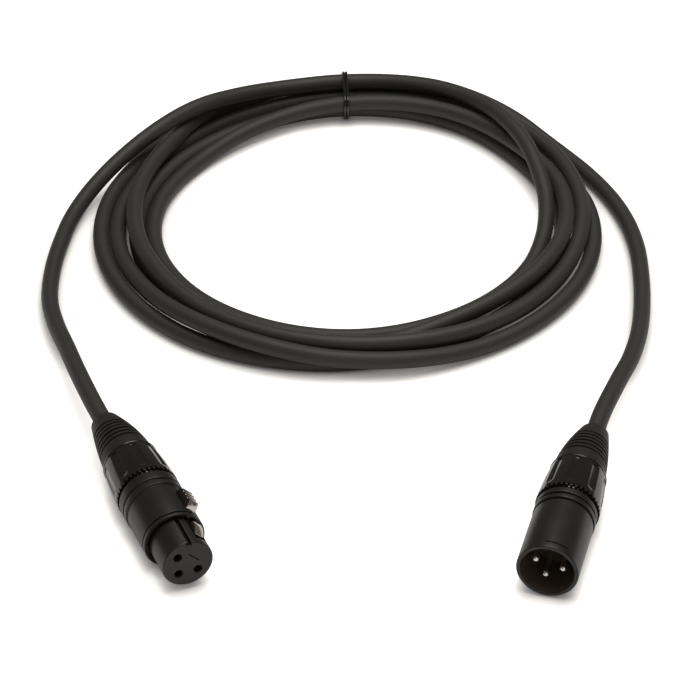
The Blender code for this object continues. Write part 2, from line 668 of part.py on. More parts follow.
def latch_spring(axis):
    """Bowed leaf between the contact block and the lever."""
    middle = FEMALE_INSERT_L - CLEAR - SPRING_L / 2
    foot = channel_floor() + CLEAR
    lower, upper = [], []
    for step in range(SPRING_STEPS + 1):
        share = step / SPRING_STEPS
        bow = SPRING_RISE * math.sin(math.pi * share)
        at = SPRING_L * (share - 0.5)
        lower.append((foot + bow, at))
        upper.append((foot + bow + SPRING_T, at))
    leaf = extruded("female_latch_spring", lower + upper[::-1], SPRING_W)
    return place("female_latch_spring", leaf, axis, "silver", (0, 0, middle), LATCH_ROLL)


def female_connector(axis):
    """Every piece of the female connector."""
    female_shell(axis)
    female_insert(axis)
    for number, roll in enumerate(female_rolls()):
        socket_contact(number + 1, axis, roll)
    female_latch(axis)
    latch_pin(axis)
    latch_spring(axis)
    gland_nut("female_nut", axis, FEMALE_NUT_AT)
    clamp_chuck("female_chuck", axis, FEMALE_NUT_AT)
    cable_boot("female_boot", axis, FEMALE_NUT_AT)
    contact_end = SOCKET_MOUTH_L + CLEAR + SOCKET_L
    cable_end("female", axis, FEMALE_NUT_AT, female_rolls(), contact_end)


# --- Male connector --------------------------------------------------------------------
def male_rolls():
    """Roll angles of the pins: two beside the catch, one opposite."""
    return (MALE_ROLL + 90.0, MALE_ROLL - 90.0, MALE_ROLL + 180.0)


def male_shell(axis):
    """Cast tube with an open mouth, key rib, latch catch and rear rings."""
    outer, mouth = MALE_TUBE_D / 2, MALE_BORE_D / 2
    seat = MALE_MOUTH_L + MALE_FLANGE_L + CLEAR
    shoulder = MALE_NUT_AT - CLEAR
    outline = [(mouth + MALE_CHAMFER, 0.0), (outer - MALE_CHAMFER, 0.0),
               (outer, MALE_CHAMFER), (outer, MALE_RINGS_AT - RING_GROOVE_W)]
    outline += rings(MALE_RINGS_AT, MALE_RING_PITCH, 2, MALE_RING_R, shoulder)
    outline.append((MALE_RING_R, shoulder))
    outline += spigot(MALE_NUT_AT)
    outline += [(BODY_BORE_R, MALE_NUT_AT + SPIGOT_L), (BODY_BORE_R, seat), (mouth, seat),
                (mouth, MALE_CHAMFER)]
    shell = place("male_shell", turned("male_shell", outline), axis, "black_satin")

    rib = bmesh.new()
    add_box(rib, (mouth - KEY_RISE, -KEY_W / 2, LATCH_TIP_AT),
            (mouth + KEY_RISE, KEY_W / 2, MALE_MOUTH_L - CLEAR), MALE_ROLL + KEY_TO_CATCH)
    cut(shell, mesh_from(rib, "male_key"), "UNION")

    catch = bmesh.new()
    add_box(catch, (mouth - CATCH_DEPTH, -CATCH_W / 2, CATCH_AT),
            (mouth + CATCH_DEPTH, CATCH_W / 2, CATCH_AT + CATCH_L), MALE_ROLL)
    cut(shell, mesh_from(catch, "male_catch"))

    line = [(outer - CATCH_LINE_DEPTH, CATCH_LINE_AT), (outer + CATCH_LINE_DEPTH, CATCH_LINE_AT),
            (outer + CATCH_LINE_DEPTH, CATCH_LINE_AT + CATCH_LINE_W),
            (outer - CATCH_LINE_DEPTH, CATCH_LINE_AT + CATCH_LINE_W)]
    cut(shell, turned("male_catch_line", line, CATCH_LINE_STEPS, CATCH_LINE_ARC,
                      MALE_ROLL - CATCH_LINE_ARC / 2))
    return shell


def male_insert(axis):
    """Stepped contact block behind the mouth, bored for the pins."""
    flange = MALE_BORE_D / 2 - CLEAR
    rear = BODY_BORE_R - CLEAR
    step = MALE_MOUTH_L + MALE_FLANGE_L
    outline = [(0.0, MALE_MOUTH_L), (flange, MALE_MOUTH_L), (flange, step), (rear, step),
               (rear, MALE_INSERT_L), (0.0, MALE_INSERT_L)]
    block = place("male_insert", turned("male_insert", outline), axis, "insert_plastic")
    bores = bmesh.new()
    for roll in male_rolls():
        add_rod(bores, polar(CONTACT_RING_R, roll, MALE_MOUTH_L - CLEAR),
                polar(CONTACT_RING_R, roll, MALE_INSERT_L + CLEAR), PIN_D / 2 + CLEAR)
    cut(block, mesh_from(bores, "male_pin_bores"))
    return block


def male_pin(number, axis, roll):
    """Contact pin with a domed tip and a solder cup behind."""
    radius = PIN_D / 2
    end = MALE_INSERT_L + PIN_TAIL - PIN_RECESS
    cup_floor = end - 2 * PIN_TAIL
    outline = rounded(0.0, radius, 0.0, radius)
    outline += [(radius, end), (radius / 2, end), (radius / 2, cup_floor), (0.0, cup_floor)]
    name = f"male_pin_{number}"
    return place(name, turned(name, outline, SMALL_SIDES), axis, "silver",
                 polar(CONTACT_RING_R, roll, PIN_RECESS))


def male_connector(axis):
    """Every piece of the male connector."""
    male_shell(axis)
    male_insert(axis)
    for number, roll in enumerate(male_rolls()):
        male_pin(number + 1, axis, roll)
    gland_nut("male_nut", axis, MALE_NUT_AT)
    clamp_chuck("male_chuck", axis, MALE_NUT_AT)
    cable_boot("male_boot", axis, MALE_NUT_AT)
    cable_end("male", axis, MALE_NUT_AT, male_rolls(), MALE_INSERT_L + PIN_TAIL)


# --- Coil, tails and tie ------------------------------------------------------------------
def resting_height(angles):
    """Lowest height of a strand: on the ground, or on the tie under the coil."""
    from_tie = np.abs((angles + 180.0) % 360.0 - 180.0)
    near = np.clip(from_tie / TIE_LIFT_SPREAD, 0.0, 1.0)
    lift = TIE_T + CLEAR
    return LOW + lift * 0.5 * (1 + np.cos(np.pi * near))


def push_apart(radii, heights, far, share):
    """Part two strands that lie so many points apart, a share of the way to the next."""
    here = (1 - share) * radii[:-1] + share * radii[1:]
    level = (1 - share) * heights[:-1] + share * heights[1:]
    across = here[far:] - here[:-far]
    above = level[far:] - level[:-far]
    distance = np.hypot(across, above)
    push = np.maximum(CABLE_D + STRAND_GAP - distance, 0.0) / 2 / distance
    for values, offset in ((radii, across), (heights, above)):
        values[far:-1] += (1 - share) * push * offset
        values[far + 1:] += share * push * offset
        values[:-far - 1] -= (1 - share) * push * offset
        values[1:-far] -= share * push * offset


def settle(angles, radii, heights):
    """Push strands apart, at their points and halfway between, until all clear."""
    floor = resting_height(angles)
    for _ in range(SETTLE_SWEEPS):
        for turns_apart in range(1, len(TURNS) + 2):
            push_apart(radii, heights, turns_apart * LOOP_POINTS, 0.0)
            push_apart(radii, heights, turns_apart * LOOP_POINTS, 0.5)
        np.maximum(heights, floor, out=heights)


def wound_path():
    """Points of the wound stretch, and its last points before the tie, both times."""
    stations = list(FEMALE_LEAD)
    for turn, row in enumerate(TURNS):
        for number, (radius, height) in enumerate(row):
            stations.append((360.0 * turn + STATION_STEP * number, radius, height))
    last = 360.0 * len(TURNS)
    stations += [(last + angle, radius, height) for angle, radius, height in MALE_LEAD]
    stations = np.array(stations)
    step = 360.0 / LOOP_POINTS
    angles = np.arange(stations[0, 0] + step / 2, stations[-1, 0], step)
    smooth = through(stations[:, 0], stations[:, 1:], angles)
    radii, heights = smooth.T.copy()
    settle(angles, radii, heights)
    turned_by = np.radians(angles)
    points = np.stack([COIL_CENTRE.x + radii * np.sin(turned_by),
                       COIL_CENTRE.y + radii * np.cos(turned_by), heights], axis=1)
    start = int(-angles[0] // step)
    return points, start, start + LOOP_POINTS * len(TURNS)


def seam(points, index):
    """Facing ends of two tubes, square across the straight run under the tie."""
    middle = (points[index] + points[index + 1]) / 2
    along = points[index + 1] - points[index]
    gap = CLEAR / 2 * along / np.linalg.norm(along)
    return middle - gap, middle + gap


def free_tail(mouth, heading, nut_at, route, lead):
    """Points from a boot along a free tail up to the wound stretch."""
    turn = math.radians(heading)
    aim = Vector((math.sin(turn), math.cos(turn), 0.0))
    exit_at = nut_at + NUT_L + CLEAR + BOOT_L + CLEAR
    start = mouth + aim * exit_at
    straight = start + aim * CABLE_D
    knots = [start, straight, *(Vector(point) for point in route)]
    knots = np.array([tuple(point) for point in knots] + [tuple(p) for p in lead[:2]])
    lengths = np.r_[0.0, np.cumsum(np.linalg.norm(np.diff(knots, axis=0), axis=1))]
    span = lengths[-2] - lengths[1]
    count = int(round(span / FREE_STEP))
    wanted = lengths[1] + span * np.arange(count) / count
    return [knots[0], *through(lengths, knots, wanted)]


def least_gap(points):
    """Smallest gap between strands of a path at least half a turn apart."""
    parts = 4
    shares = np.arange(parts)[:, None] / parts
    dense = [a + shares * (b - a) for a, b in zip(points, points[1:])]
    dense = np.concatenate(dense)
    apart = parts * LOOP_POINTS // 2
    least = math.inf
    for index in range(len(dense) - apart):
        away = np.linalg.norm(dense[index + apart:] - dense[index], axis=1)
        least = min(least, away.min())
    return least - CABLE_D


def length_of(points):
    """Length of a path."""
    return float(np.linalg.norm(np.diff(np.array(points), axis=0), axis=1).sum())


def coil_tie(parent, sections):
    """Double-beaded band drawn round the strands at the back."""
    ring = []
    inner = CABLE_R + CLEAR
    for strand, (across, above) in enumerate(sections):
        for facet in range(TIE_FACETS):
            swing = 2 * math.pi * facet / TIE_FACETS
            ring.append(((across + inner * math.cos(swing), above + inner * math.sin(swing)),
                         strand, swing))
    hull = hull_order([point for point, _, _ in ring])
    profile = ((-0.5, 0.0), (0.5, 0.0), (0.5, TIE_RIDGE), (0.25, 1.0), (0.0, TIE_RIDGE),
               (-0.25, 1.0), (-0.5, TIE_RIDGE))
    bm = bmesh.new()
    loops = []
    for index in hull:
        _, strand, swing = ring[index]
        across, above = sections[strand]
        loop = []
        for wide, out in profile:
            reach = inner + TIE_T * out
            loop.append(bm.verts.new((wide * TIE_W, across + reach * math.cos(swing),
                                      above + reach * math.sin(swing))))
        loops.append(loop)
    for this, following in zip(loops, loops[1:] + loops[:1]):
        for side in range(len(profile)):
            after = (side + 1) % len(profile)
            bm.faces.new((this[side], this[after], following[after], following[side]))
    return place("coil_tie", mesh_from(bm, "coil_tie"), parent, "tie",
                 (COIL_CENTRE.x, COIL_CENTRE.y, 0.0))


def hull_order(points):
    """Indices of the convex outline of points in a plane, counter-clockwise."""
    order = sorted(range(len(points)), key=lambda index: points[index])

    def half(indices):
        chain = []
        for index in indices:
            while len(chain) > 1 and turn_of(points, chain[-2], chain[-1], index) <= 0:
                chain.pop()
            chain.append(index)
        return chain[:-1]

    return half(order) + half(order[::-1])


def turn_of(points, first, second, third):
    """Positive where three points turn to the left."""
    (ax, ay), (bx, by), (cx, cy) = points[first], points[second], points[third]
    return (bx - ax) * (cy - ay) - (by - ay) * (cx - ax)


def cable(root):
    """Coil between its two ends under the tie, the tails, and the tie itself."""
    points, first, last = wound_path()
    female_end, coil_start = seam(points, first)
    coil_end, male_end = seam(points, last)
    coil = [coil_start, *points[first + 1:last + 1], coil_end]
    female = free_tail(FEMALE_MOUTH, FEMALE_HEADING, FEMALE_NUT_AT, FEMALE_FREE, points)
    female += [*points[:first + 1], female_end]
    male = free_tail(MALE_MOUTH, MALE_HEADING, MALE_NUT_AT, MALE_FREE, points[::-1])
    male += [*points[:last:-1], male_end]
    tube("cable_coil", coil, CABLE_D, root, "jacket", COIL_RESOLUTION)
    tube("cable_tail_female", female, CABLE_D, root, "jacket", TAIL_RESOLUTION)
    tube("cable_tail_male", male, CABLE_D, root, "jacket", TAIL_RESOLUTION)
    held = range(first, last + 1, LOOP_POINTS)
    at_tie = [(points[index] + points[index + 1]) / 2 for index in held]
    coil_tie(root, [(point[1] - COIL_CENTRE.y, point[2]) for point in at_tie])
    whole = [*female, *coil, *male[::-1]]
    print(f"coil's least gap to itself: {least_gap(coil) * 1000:.2f} mm")
    print(f"whole cable's least gap to itself: {least_gap(points) * 1000:.2f} mm")
    print(f"cable length: {length_of(whole) * 1000:.0f} mm")


# --- Assembly --------------------------------------------------------------------------------
def connector_axis(name, root, mouth, heading):
    """Empty at a mating face: Z rearwards along the axis, X up."""
    axis = bpy.data.objects.new(name, None)
    bpy.context.scene.collection.objects.link(axis)
    axis.parent = root
    turn = math.radians(heading)
    back = Vector((math.sin(turn), math.cos(turn), 0.0))
    right = Vector((math.cos(turn), -math.sin(turn), 0.0))
    frame = Matrix((Vector((0, 0, 1)), right, back)).transposed()
    axis.location = mouth
    axis.rotation_euler = frame.to_euler()
    return axis


def centre_on_origin(root):
    """Move everything so that the rigid pieces' box stands centred on the origin."""
    bpy.context.view_layer.update()
    corners = []
    for piece in bpy.data.objects:
        if piece.type == "MESH" and not piece.hide_render:
            corners += [piece.matrix_world @ Vector(corner) for corner in piece.bound_box]
    low = Vector(min(corner[axis] for corner in corners) for axis in range(3))
    high = Vector(max(corner[axis] for corner in corners) for axis in range(3))
    root.location = (-(low.x + high.x) / 2, -(low.y + high.y) / 2, -low.z)
    print(f"origin in the ground plan: {-root.location.x:.5f} {-root.location.y:.5f}"
          f" {-root.location.z:.5f}")


def build():
    """Clear the scene and make the part."""
    for old in list(bpy.data.objects):
        bpy.data.objects.remove(old, do_unlink=True)
    root = bpy.data.objects.new("cable_root", None)
    bpy.context.scene.collection.objects.link(root)
    female_connector(connector_axis("female_axis", root, FEMALE_MOUTH, FEMALE_HEADING))
    male_connector(connector_axis("male_axis", root, MALE_MOUTH, MALE_HEADING))
    cable(root)
    centre_on_origin(root)


build()
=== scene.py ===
"""Looks of a coiled balanced audio cable with a latching socket and a plug.

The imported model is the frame: every piece is built in metres where its node
lies. A connector's pieces are made about its own axis, from the mating face at
zero rearwards along local Z, with local X up and a roll angle that runs from
there towards local Y on the connector's right, and are then laid in place.
"""

from __future__ import annotations

import json
import logging
import math
from collections.abc import Callable, Sequence
from dataclasses import dataclass, field
from enum import Enum

import bmesh
import bpy
import numpy as np
from mathutils import Matrix, Vector

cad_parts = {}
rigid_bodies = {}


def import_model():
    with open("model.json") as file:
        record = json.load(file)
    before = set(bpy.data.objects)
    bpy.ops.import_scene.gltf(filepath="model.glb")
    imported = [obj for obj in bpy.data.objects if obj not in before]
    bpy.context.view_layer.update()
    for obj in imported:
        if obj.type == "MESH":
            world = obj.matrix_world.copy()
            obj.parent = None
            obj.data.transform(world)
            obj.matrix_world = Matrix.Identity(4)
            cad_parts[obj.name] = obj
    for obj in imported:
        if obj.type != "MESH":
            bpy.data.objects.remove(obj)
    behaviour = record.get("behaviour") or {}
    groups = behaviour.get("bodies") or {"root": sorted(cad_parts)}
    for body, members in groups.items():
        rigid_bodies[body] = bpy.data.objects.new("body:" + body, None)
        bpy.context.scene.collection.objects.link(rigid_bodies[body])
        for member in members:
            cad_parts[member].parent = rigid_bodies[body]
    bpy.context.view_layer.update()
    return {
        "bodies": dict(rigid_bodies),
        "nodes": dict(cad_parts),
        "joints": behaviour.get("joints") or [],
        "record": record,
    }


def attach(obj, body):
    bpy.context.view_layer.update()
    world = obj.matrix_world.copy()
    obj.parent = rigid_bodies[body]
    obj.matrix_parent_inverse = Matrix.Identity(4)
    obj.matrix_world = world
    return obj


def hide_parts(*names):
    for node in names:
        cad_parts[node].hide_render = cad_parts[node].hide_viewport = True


LOG = logging.getLogger("audio_cable")
MM = 0.001
ORIGIN = Vector((0.00303, 0.02079, 0.0))  # the part's origin on the traced ground plan

COAT_ROUGHNESS = 0.06
SHEEN_ROUGHNESS = 0.4
CLOUD_PITCHES = 40  # grains across one soft patch of colour
GRAIN_OCTAVES, CLOUD_OCTAVES = 3.0, 2.0
NOISE_LOW, NOISE_HIGH = 0.3, 0.7  # where a noise's values mostly lie
MIX_SHARE, MIX_FIRST, MIX_SECOND, MIX_RESULT = 0, 6, 7, 2  # a Mix node's sockets for colours

Colour = tuple[float, float, float]
Corner = tuple[float, float, float]
Point = tuple[float, float]


# --- Finishes ---------------------------------------------------------------
def worked_out(
    tree: bpy.types.NodeTree, operation: str, *values: float | bpy.types.NodeSocket
) -> bpy.types.NodeSocket:
    """Add a Math node.

    Args:
        tree: The node tree that gets it.
        operation: What it works out.
        values: Its inputs, as numbers or as the sockets that feed them.

    Returns:
        The socket of the result.
    """
    node = tree.nodes.new("ShaderNodeMath")
    node.operation = operation
    for given, value in zip(node.inputs, values):
        if isinstance(value, float):
            given.default_value = value
        else:
            tree.links.new(value, given)
    return node.outputs[0]


class Grain(Enum):
    """Coordinates that a finish's fine pattern follows."""

    EVEN = "Object"
    ALONG = "UV"


@dataclass(frozen=True)
class Finish:
    """A finish with fine grain, cloudy variation and roughness from nodes.

    Attributes:
        name: The material's name.
        base: Colour of most of the surface.
        cloud: Colour that the base drifts towards in soft patches.
        smooth: Lowest roughness.
        rough: Highest roughness.
        pitch: Size of one grain in millimetres.
        relief: Height of the grain in millimetres.
        metallic: How metallic the surface is.
        specular: Strength of its plain reflection.
        coat: Weight of a clear glossy layer.
        sheen: Weight of a soft rim of light.
        stretch: Scale of the grain along each axis.
        grain: Coordinates that the grain follows.
    """

    name: str
    base: Colour
    cloud: Colour
    smooth: float
    rough: float
    pitch: float
    relief: float
    metallic: float = 0.0
    specular: float = 0.5
    coat: float = 0.0
    sheen: float = 0.0
    stretch: tuple[float, float, float] = (1.0, 1.0, 1.0)
    grain: Grain = Grain.EVEN

    def material(self) -> bpy.types.Material:
        """Return the material, made on first use.

        Returns:
            The node-based material of this finish.
        """
        found = bpy.data.materials.get(self.name)
        if found:
            return found
        made = bpy.data.materials.new(self.name)
        made.use_nodes = True
        tree = made.node_tree
        shader = tree.nodes["Principled BSDF"]
        shader.inputs["Metallic"].default_value = self.metallic
        shader.inputs["Specular IOR Level"].default_value = self.specular
        shader.inputs["Coat Weight"].default_value = self.coat
        shader.inputs["Coat Roughness"].default_value = COAT_ROUGHNESS
        shader.inputs["Sheen Weight"].default_value = self.sheen
        shader.inputs["Sheen Roughness"].default_value = SHEEN_ROUGHNESS

        where = tree.nodes.new("ShaderNodeTexCoord")
        mapping = tree.nodes.new("ShaderNodeMapping")
        mapping.inputs["Scale"].default_value = self.stretch
        tree.links.new(where.outputs[self.grain.value], mapping.inputs["Vector"])
        pitch = self.pitch * MM
        fine = self._noise(tree, mapping, 1.0 / pitch, GRAIN_OCTAVES)
        clouds = self._noise(tree, mapping, 1.0 / (CLOUD_PITCHES * pitch), CLOUD_OCTAVES)

        colour = tree.nodes.new("ShaderNodeMix")
        colour.data_type = "RGBA"
        colour.inputs[MIX_FIRST].default_value = (*self.base, 1.0)
        colour.inputs[MIX_SECOND].default_value = (*self.cloud, 1.0)
        tree.links.new(clouds.outputs["Fac"], colour.inputs[MIX_SHARE])
        tree.links.new(colour.outputs[MIX_RESULT], shader.inputs["Base Color"])

        half_clouds = worked_out(tree, "MULTIPLY", clouds.outputs["Fac"], 0.5)
        blend = worked_out(tree, "MULTIPLY_ADD", fine.outputs["Fac"], 0.5, half_clouds)
        spread = tree.nodes.new("ShaderNodeMapRange")
        spread.inputs["From Min"].default_value = NOISE_LOW
        spread.inputs["From Max"].default_value = NOISE_HIGH
        spread.inputs["To Min"].default_value = self.smooth
        spread.inputs["To Max"].default_value = self.rough
        tree.links.new(blend, spread.inputs["Value"])
        tree.links.new(spread.outputs["Result"], shader.inputs["Roughness"])

        bump = tree.nodes.new("ShaderNodeBump")
        bump.inputs["Strength"].default_value = 1.0
        bump.inputs["Distance"].default_value = self.relief * MM
        tree.links.new(fine.outputs["Fac"], bump.inputs["Height"])
        tree.links.new(bump.outputs["Normal"], shader.inputs["Normal"])
        return made

    @staticmethod
    def _noise(
        tree: bpy.types.NodeTree, mapping: bpy.types.Node, scale: float, detail: float
    ) -> bpy.types.Node:
        """Add a noise texture.

        Args:
            tree: The material's node tree.
            mapping: The node that gives the coordinates.
            scale: Grains per metre.
            detail: Octaves of finer noise.

        Returns:
            The noise node.
        """
        noise = tree.nodes.new("ShaderNodeTexNoise")
        noise.inputs["Scale"].default_value = scale
        noise.inputs["Detail"].default_value = detail
        tree.links.new(mapping.outputs["Vector"], noise.inputs["Vector"])
        return noise


JACKET = Finish("jacket_matt", (0.0295, 0.0288, 0.0260), (0.0365, 0.0355, 0.0325), 0.50, 0.64,
                0.35, 0.010, specular=0.5, sheen=0.03,
                stretch=(1.0, 0.02, 1.0), grain=Grain.ALONG)
CUT_JACKET = Finish("jacket_inside", (0.026, 0.026, 0.025), (0.032, 0.032, 0.031), 0.46, 0.60,
                    0.35, 0.010)
SATIN = Finish("satin_coat", (0.0098, 0.0090, 0.0070), (0.0128, 0.0118, 0.0094), 0.30, 0.42,
               0.16, 0.006, specular=0.5)
# Painted light: a lighter brown on the black satin inside the mouth, standing in for light that
# reaches in.
MOUTH_PAINTED_LIGHT = Finish("mouth_painted_light", (0.078, 0.052, 0.034), (0.094, 0.062, 0.041), 0.36, 0.48,
               0.16, 0.006, specular=0.5)
GLOSS = Finish("gloss_moulding", (0.0080, 0.0060, 0.0048), (0.0110, 0.0082, 0.0066), 0.08,
               0.18, 0.9, 0.004, specular=0.5, coat=0.2)
RUBBER = Finish("boot_rubber", (0.0112, 0.0098, 0.0080), (0.0155, 0.0136, 0.0114), 0.50, 0.66,
                0.22, 0.012, specular=0.4, sheen=0.05)
SOCKET_FACE = Finish("socket_moulding", (0.0160, 0.0138, 0.0118), (0.0210, 0.0180, 0.0156), 0.42,
                     0.56, 0.20, 0.010, specular=0.5)
# The insert's own brown, lightened as painted light for the bottom of the mouth, where little light
# reaches.
PLUG_FACE_PAINTED_LIGHT = Finish("plug_moulding_painted_light", (0.070, 0.048, 0.032), (0.088, 0.060, 0.040), 0.34, 0.50,
                   0.25, 0.008, specular=0.5)
CHROME = Finish("latch_chrome", (0.60, 0.55, 0.50), (0.68, 0.63, 0.58), 0.12, 0.26,
                0.5, 0.003, metallic=1.0)
# Painted shade: dark brown on the latch lever's flat sides.
LATCH_SIDE_PAINTED_SHADE = Finish("latch_side_painted_shade", (0.085, 0.058, 0.046), (0.120, 0.085, 0.070), 0.30, 0.46,
                      0.3, 0.010, metallic=1.0)
# Painted shade: a near-black laid on the faces of notches, grooves, keyways and gaps, where shade
# falls.
PAINTED_RECESS_SHADE = Finish("deep_shade", (0.0020, 0.0017, 0.0014), (0.0030, 0.0026, 0.0021), 0.55, 0.75,
                0.3, 0.004, specular=0.15)
PLATING = Finish("contact_plating", (0.82, 0.80, 0.76), (0.88, 0.87, 0.84), 0.14, 0.26,
                 0.3, 0.002, metallic=1.0)
CLAMP = Finish("clamp_moulding", (0.10, 0.10, 0.11), (0.12, 0.12, 0.13), 0.38, 0.52, 0.4, 0.008)
SCREEN = Finish("screen_wire", (0.55, 0.42, 0.28), (0.62, 0.50, 0.35), 0.25, 0.40,
                0.12, 0.020, metallic=1.0)
RED_CORE = Finish("red_insulation", (0.38, 0.03, 0.03), (0.44, 0.04, 0.04), 0.35, 0.50, 0.3, 0.006)
WHITE_CORE = Finish("white_insulation", (0.62, 0.62, 0.60), (0.70, 0.70, 0.68), 0.35, 0.50,
                    0.3, 0.006)
TIE = Finish("tie_band", (0.006, 0.006, 0.006), (0.009, 0.009, 0.009), 0.08, 0.18, 0.3, 0.006,
             specular=0.9)


# --- Meshes -----------------------------------------------------------------
def object_of(mesh: bpy.types.Mesh, finish: Finish | None) -> bpy.types.Object:
    """Put a mesh in the scene at the origin.

    Args:
        mesh: The mesh, whose name the object takes.
        finish: Its finish, or None for a tool.

    Returns:
        The new object.
    """
    made = bpy.data.objects.new(mesh.name, mesh)
    bpy.context.scene.collection.objects.link(made)
    if finish:
        mesh.materials.clear()
        mesh.materials.append(finish.material())
    return made


def mesh_of(name: str, bm: bmesh.types.BMesh) -> bpy.types.Mesh:
    """Turn a closed bmesh into a mesh with its faces pointing out.

    Args:
        name: The mesh's name.
        bm: The bmesh, which is freed.

    Returns:
        The mesh.
    """
    bmesh.ops.recalc_face_normals(bm, faces=bm.faces)
    mesh = bpy.data.meshes.new(name)
    bm.to_mesh(mesh)
    bm.free()
    return mesh


def soften(piece: bpy.types.Object, angle: float = 32.0) -> None:
    """Shade a piece smooth, apart from its sharp edges."""
    piece.data.shade_smooth()
    piece.data.set_sharp_from_angle(angle=math.radians(angle))


def settle_modifiers(piece: bpy.types.Object) -> None:
    """Replace a piece's mesh by what its modifiers make of it, and drop them.

    Args:
        piece: The piece.
    """
    graph = bpy.context.evaluated_depsgraph_get()
    final = bpy.data.meshes.new_from_object(piece.evaluated_get(graph))
    piece.modifiers.clear()
    old, name = piece.data, piece.data.name
    piece.data = final
    bpy.data.meshes.remove(old)
    final.name = name


def carve(piece: bpy.types.Object, tool: bpy.types.Object, union: bool = False) -> None:
    """Cut a tool out of a piece, or join it on, and delete the tool.

    Args:
        piece: The piece that keeps its name.
        tool: The tool, which is removed.
        union: Join instead of cutting.
    """
    step = piece.modifiers.new(tool.name, "BOOLEAN")
    step.solver = "EXACT"
    step.operation = "UNION" if union else "DIFFERENCE"
    step.object = tool
    settle_modifiers(piece)
    bpy.data.objects.remove(tool, do_unlink=True)


def round_edges(piece: bpy.types.Object, width: float, angle: float) -> None:
    """Bevel a piece's sharp edges a little, so that they catch the light.

    Args:
        piece: The piece.
        width: Width of the bevel.
        angle: Degrees from which an edge counts as sharp.
    """
    edge = piece.modifiers.new("edges", "BEVEL")
    edge.width = width
    edge.segments = 2
    edge.limit_method = "ANGLE"
    edge.angle_limit = math.radians(angle)
    settle_modifiers(piece)


def refinish(
    piece: bpy.types.Object,
    finish: Finish,
    chosen: Callable[[bpy.types.MeshPolygon, float], bool],
) -> None:
    """Give some faces of a piece that still lies about its own axis another finish.

    Args:
        piece: The piece.
        finish: The finish of the chosen faces.
        chosen: Tells from a face and its distance from the axis whether it takes the finish.
    """
    piece.data.materials.append(finish.material())
    last = len(piece.data.materials) - 1
    for face in piece.data.polygons:
        if chosen(face, math.hypot(face.center.x, face.center.y)):
            face.material_index = last


def skin(
    bm: bmesh.types.BMesh, rings: list[list[bmesh.types.BMVert]], closed: bool = False
) -> list[bmesh.types.BMFace]:
    """Join rings of points by faces.

    Args:
        bm: The bmesh that holds the points.
        rings: The rings, all with the same count. A ring may be one point repeated.
        closed: Join the last ring to the first, instead of closing both ends.

    Returns:
        The faces between the rings, ring by ring.
    """
    faces = []
    for this, following in zip(rings, rings[1:] + rings[:1] if closed else rings[1:]):
        for side in range(len(this)):
            after = (side + 1) % len(this)
            corners = (this[side], this[after], following[after], following[side])
            different = list(dict.fromkeys(corners))
            if len(different) > 2:
                faces.append(bm.faces.new(different))
    if not closed:
        bm.faces.new(rings[0])
        bm.faces.new(rings[-1])
    return faces


def rounded(corners: Sequence[Corner], steps: int = 4) -> list[Point]:
    """Round the corners of a closed outline.

    Args:
        corners: Radius, station and how far back the rounding starts.
        steps: Pieces in one rounding.

    Returns:
        Points of radius and station.
    """
    points: list[Point] = []
    count, most = len(corners), 0.45  # a rounding takes less than half of a side
    for index, (radius, station, back) in enumerate(corners):
        here = Vector((radius, station))
        before = Vector(corners[index - 1][:2]) - here
        after = Vector(corners[(index + 1) % count][:2]) - here
        reach = min(back, most * before.length, most * after.length)
        if reach <= 1e-6:
            points.append((radius, station))
            continue
        start, end = here + before.normalized() * reach, here + after.normalized() * reach
        for step in range(steps + 1):
            share = step / steps
            point = (1 - share) ** 2 * start + 2 * share * (1 - share) * here + share**2 * end
            points.append((point.x, point.y))
    return points


def lathed(name: str, outline: Sequence[Point], segments: int = 96) -> bpy.types.Mesh:
    """Turn an outline about local Z into a closed mesh.

    Args:
        name: The mesh's name.
        outline: Points of radius and station, in metres.
        segments: Facets round the axis.

    Returns:
        The closed mesh.
    """
    bm = bmesh.new()
    rings: list[list[bmesh.types.BMVert]] = []
    for radius, station in outline:
        if radius < 1e-7:
            rings.append([bm.verts.new((0.0, 0.0, station))] * segments)
            continue
        ring = []
        for facet in range(segments):
            angle = 2 * math.pi * facet / segments
            ring.append(bm.verts.new((radius * math.cos(angle), radius * math.sin(angle), station)))
        rings.append(ring)
    skin(bm, rings, closed=True)
    return mesh_of(name, bm)


def cylinder(radius: float, half: float) -> list[Point]:
    """Return the outline of a plain cylinder, half its length to each side."""
    return [(0.0, -half), (radius, -half), (radius, half), (0.0, half)]


def prism(name: str, outline: Sequence[Point], width: float) -> bpy.types.Mesh:
    """Extrude an outline of radius and station, centred, along local Y.

    Args:
        name: The mesh's name.
        outline: Points of radius and station, in metres.
        width: Width of the extrusion.

    Returns:
        The closed mesh.
    """
    bm = bmesh.new()
    points = [bm.verts.new((radius, -width / 2, station)) for radius, station in outline]
    face = bm.faces.new(points)
    grown = bmesh.ops.extrude_face_region(bm, geom=[face])
    moved = [item for item in grown["geom"] if isinstance(item, bmesh.types.BMVert)]
    bmesh.ops.translate(bm, verts=moved, vec=(0.0, width, 0.0))
    return mesh_of(name, bm)


def block(name: str, low: Corner, high: Corner, soft: float = 0.0) -> bpy.types.Mesh:
    """Make a box with rounded edges.

    Args:
        name: The mesh's name.
        low: Its low corner.
        high: Its high corner.
        soft: Width of the rounding.

    Returns:
        The closed mesh.
    """
    bm = bmesh.new()
    size = Vector(high) - Vector(low)
    middle = (Vector(high) + Vector(low)) / 2
    bmesh.ops.create_cube(bm, size=1.0,
                          matrix=Matrix.Translation(middle) @ Matrix.Diagonal((*size, 1.0)))
    if soft:
        bmesh.ops.bevel(bm, geom=bm.edges, offset=soft, segments=3, profile=0.5,
                        affect="EDGES")
    return mesh_of(name, bm)


def rolled(roll: float) -> Matrix:
    """Return the turn about a connector's axis by a roll in degrees."""
    return Matrix.Rotation(math.radians(roll), 4, "Z")


def polar(radius: float, roll: float, station: float = 0.0) -> Vector:
    """Return the point at a radius and a roll about a connector's axis."""
    angle = math.radians(roll)
    return Vector((radius * math.cos(angle), radius * math.sin(angle), station))


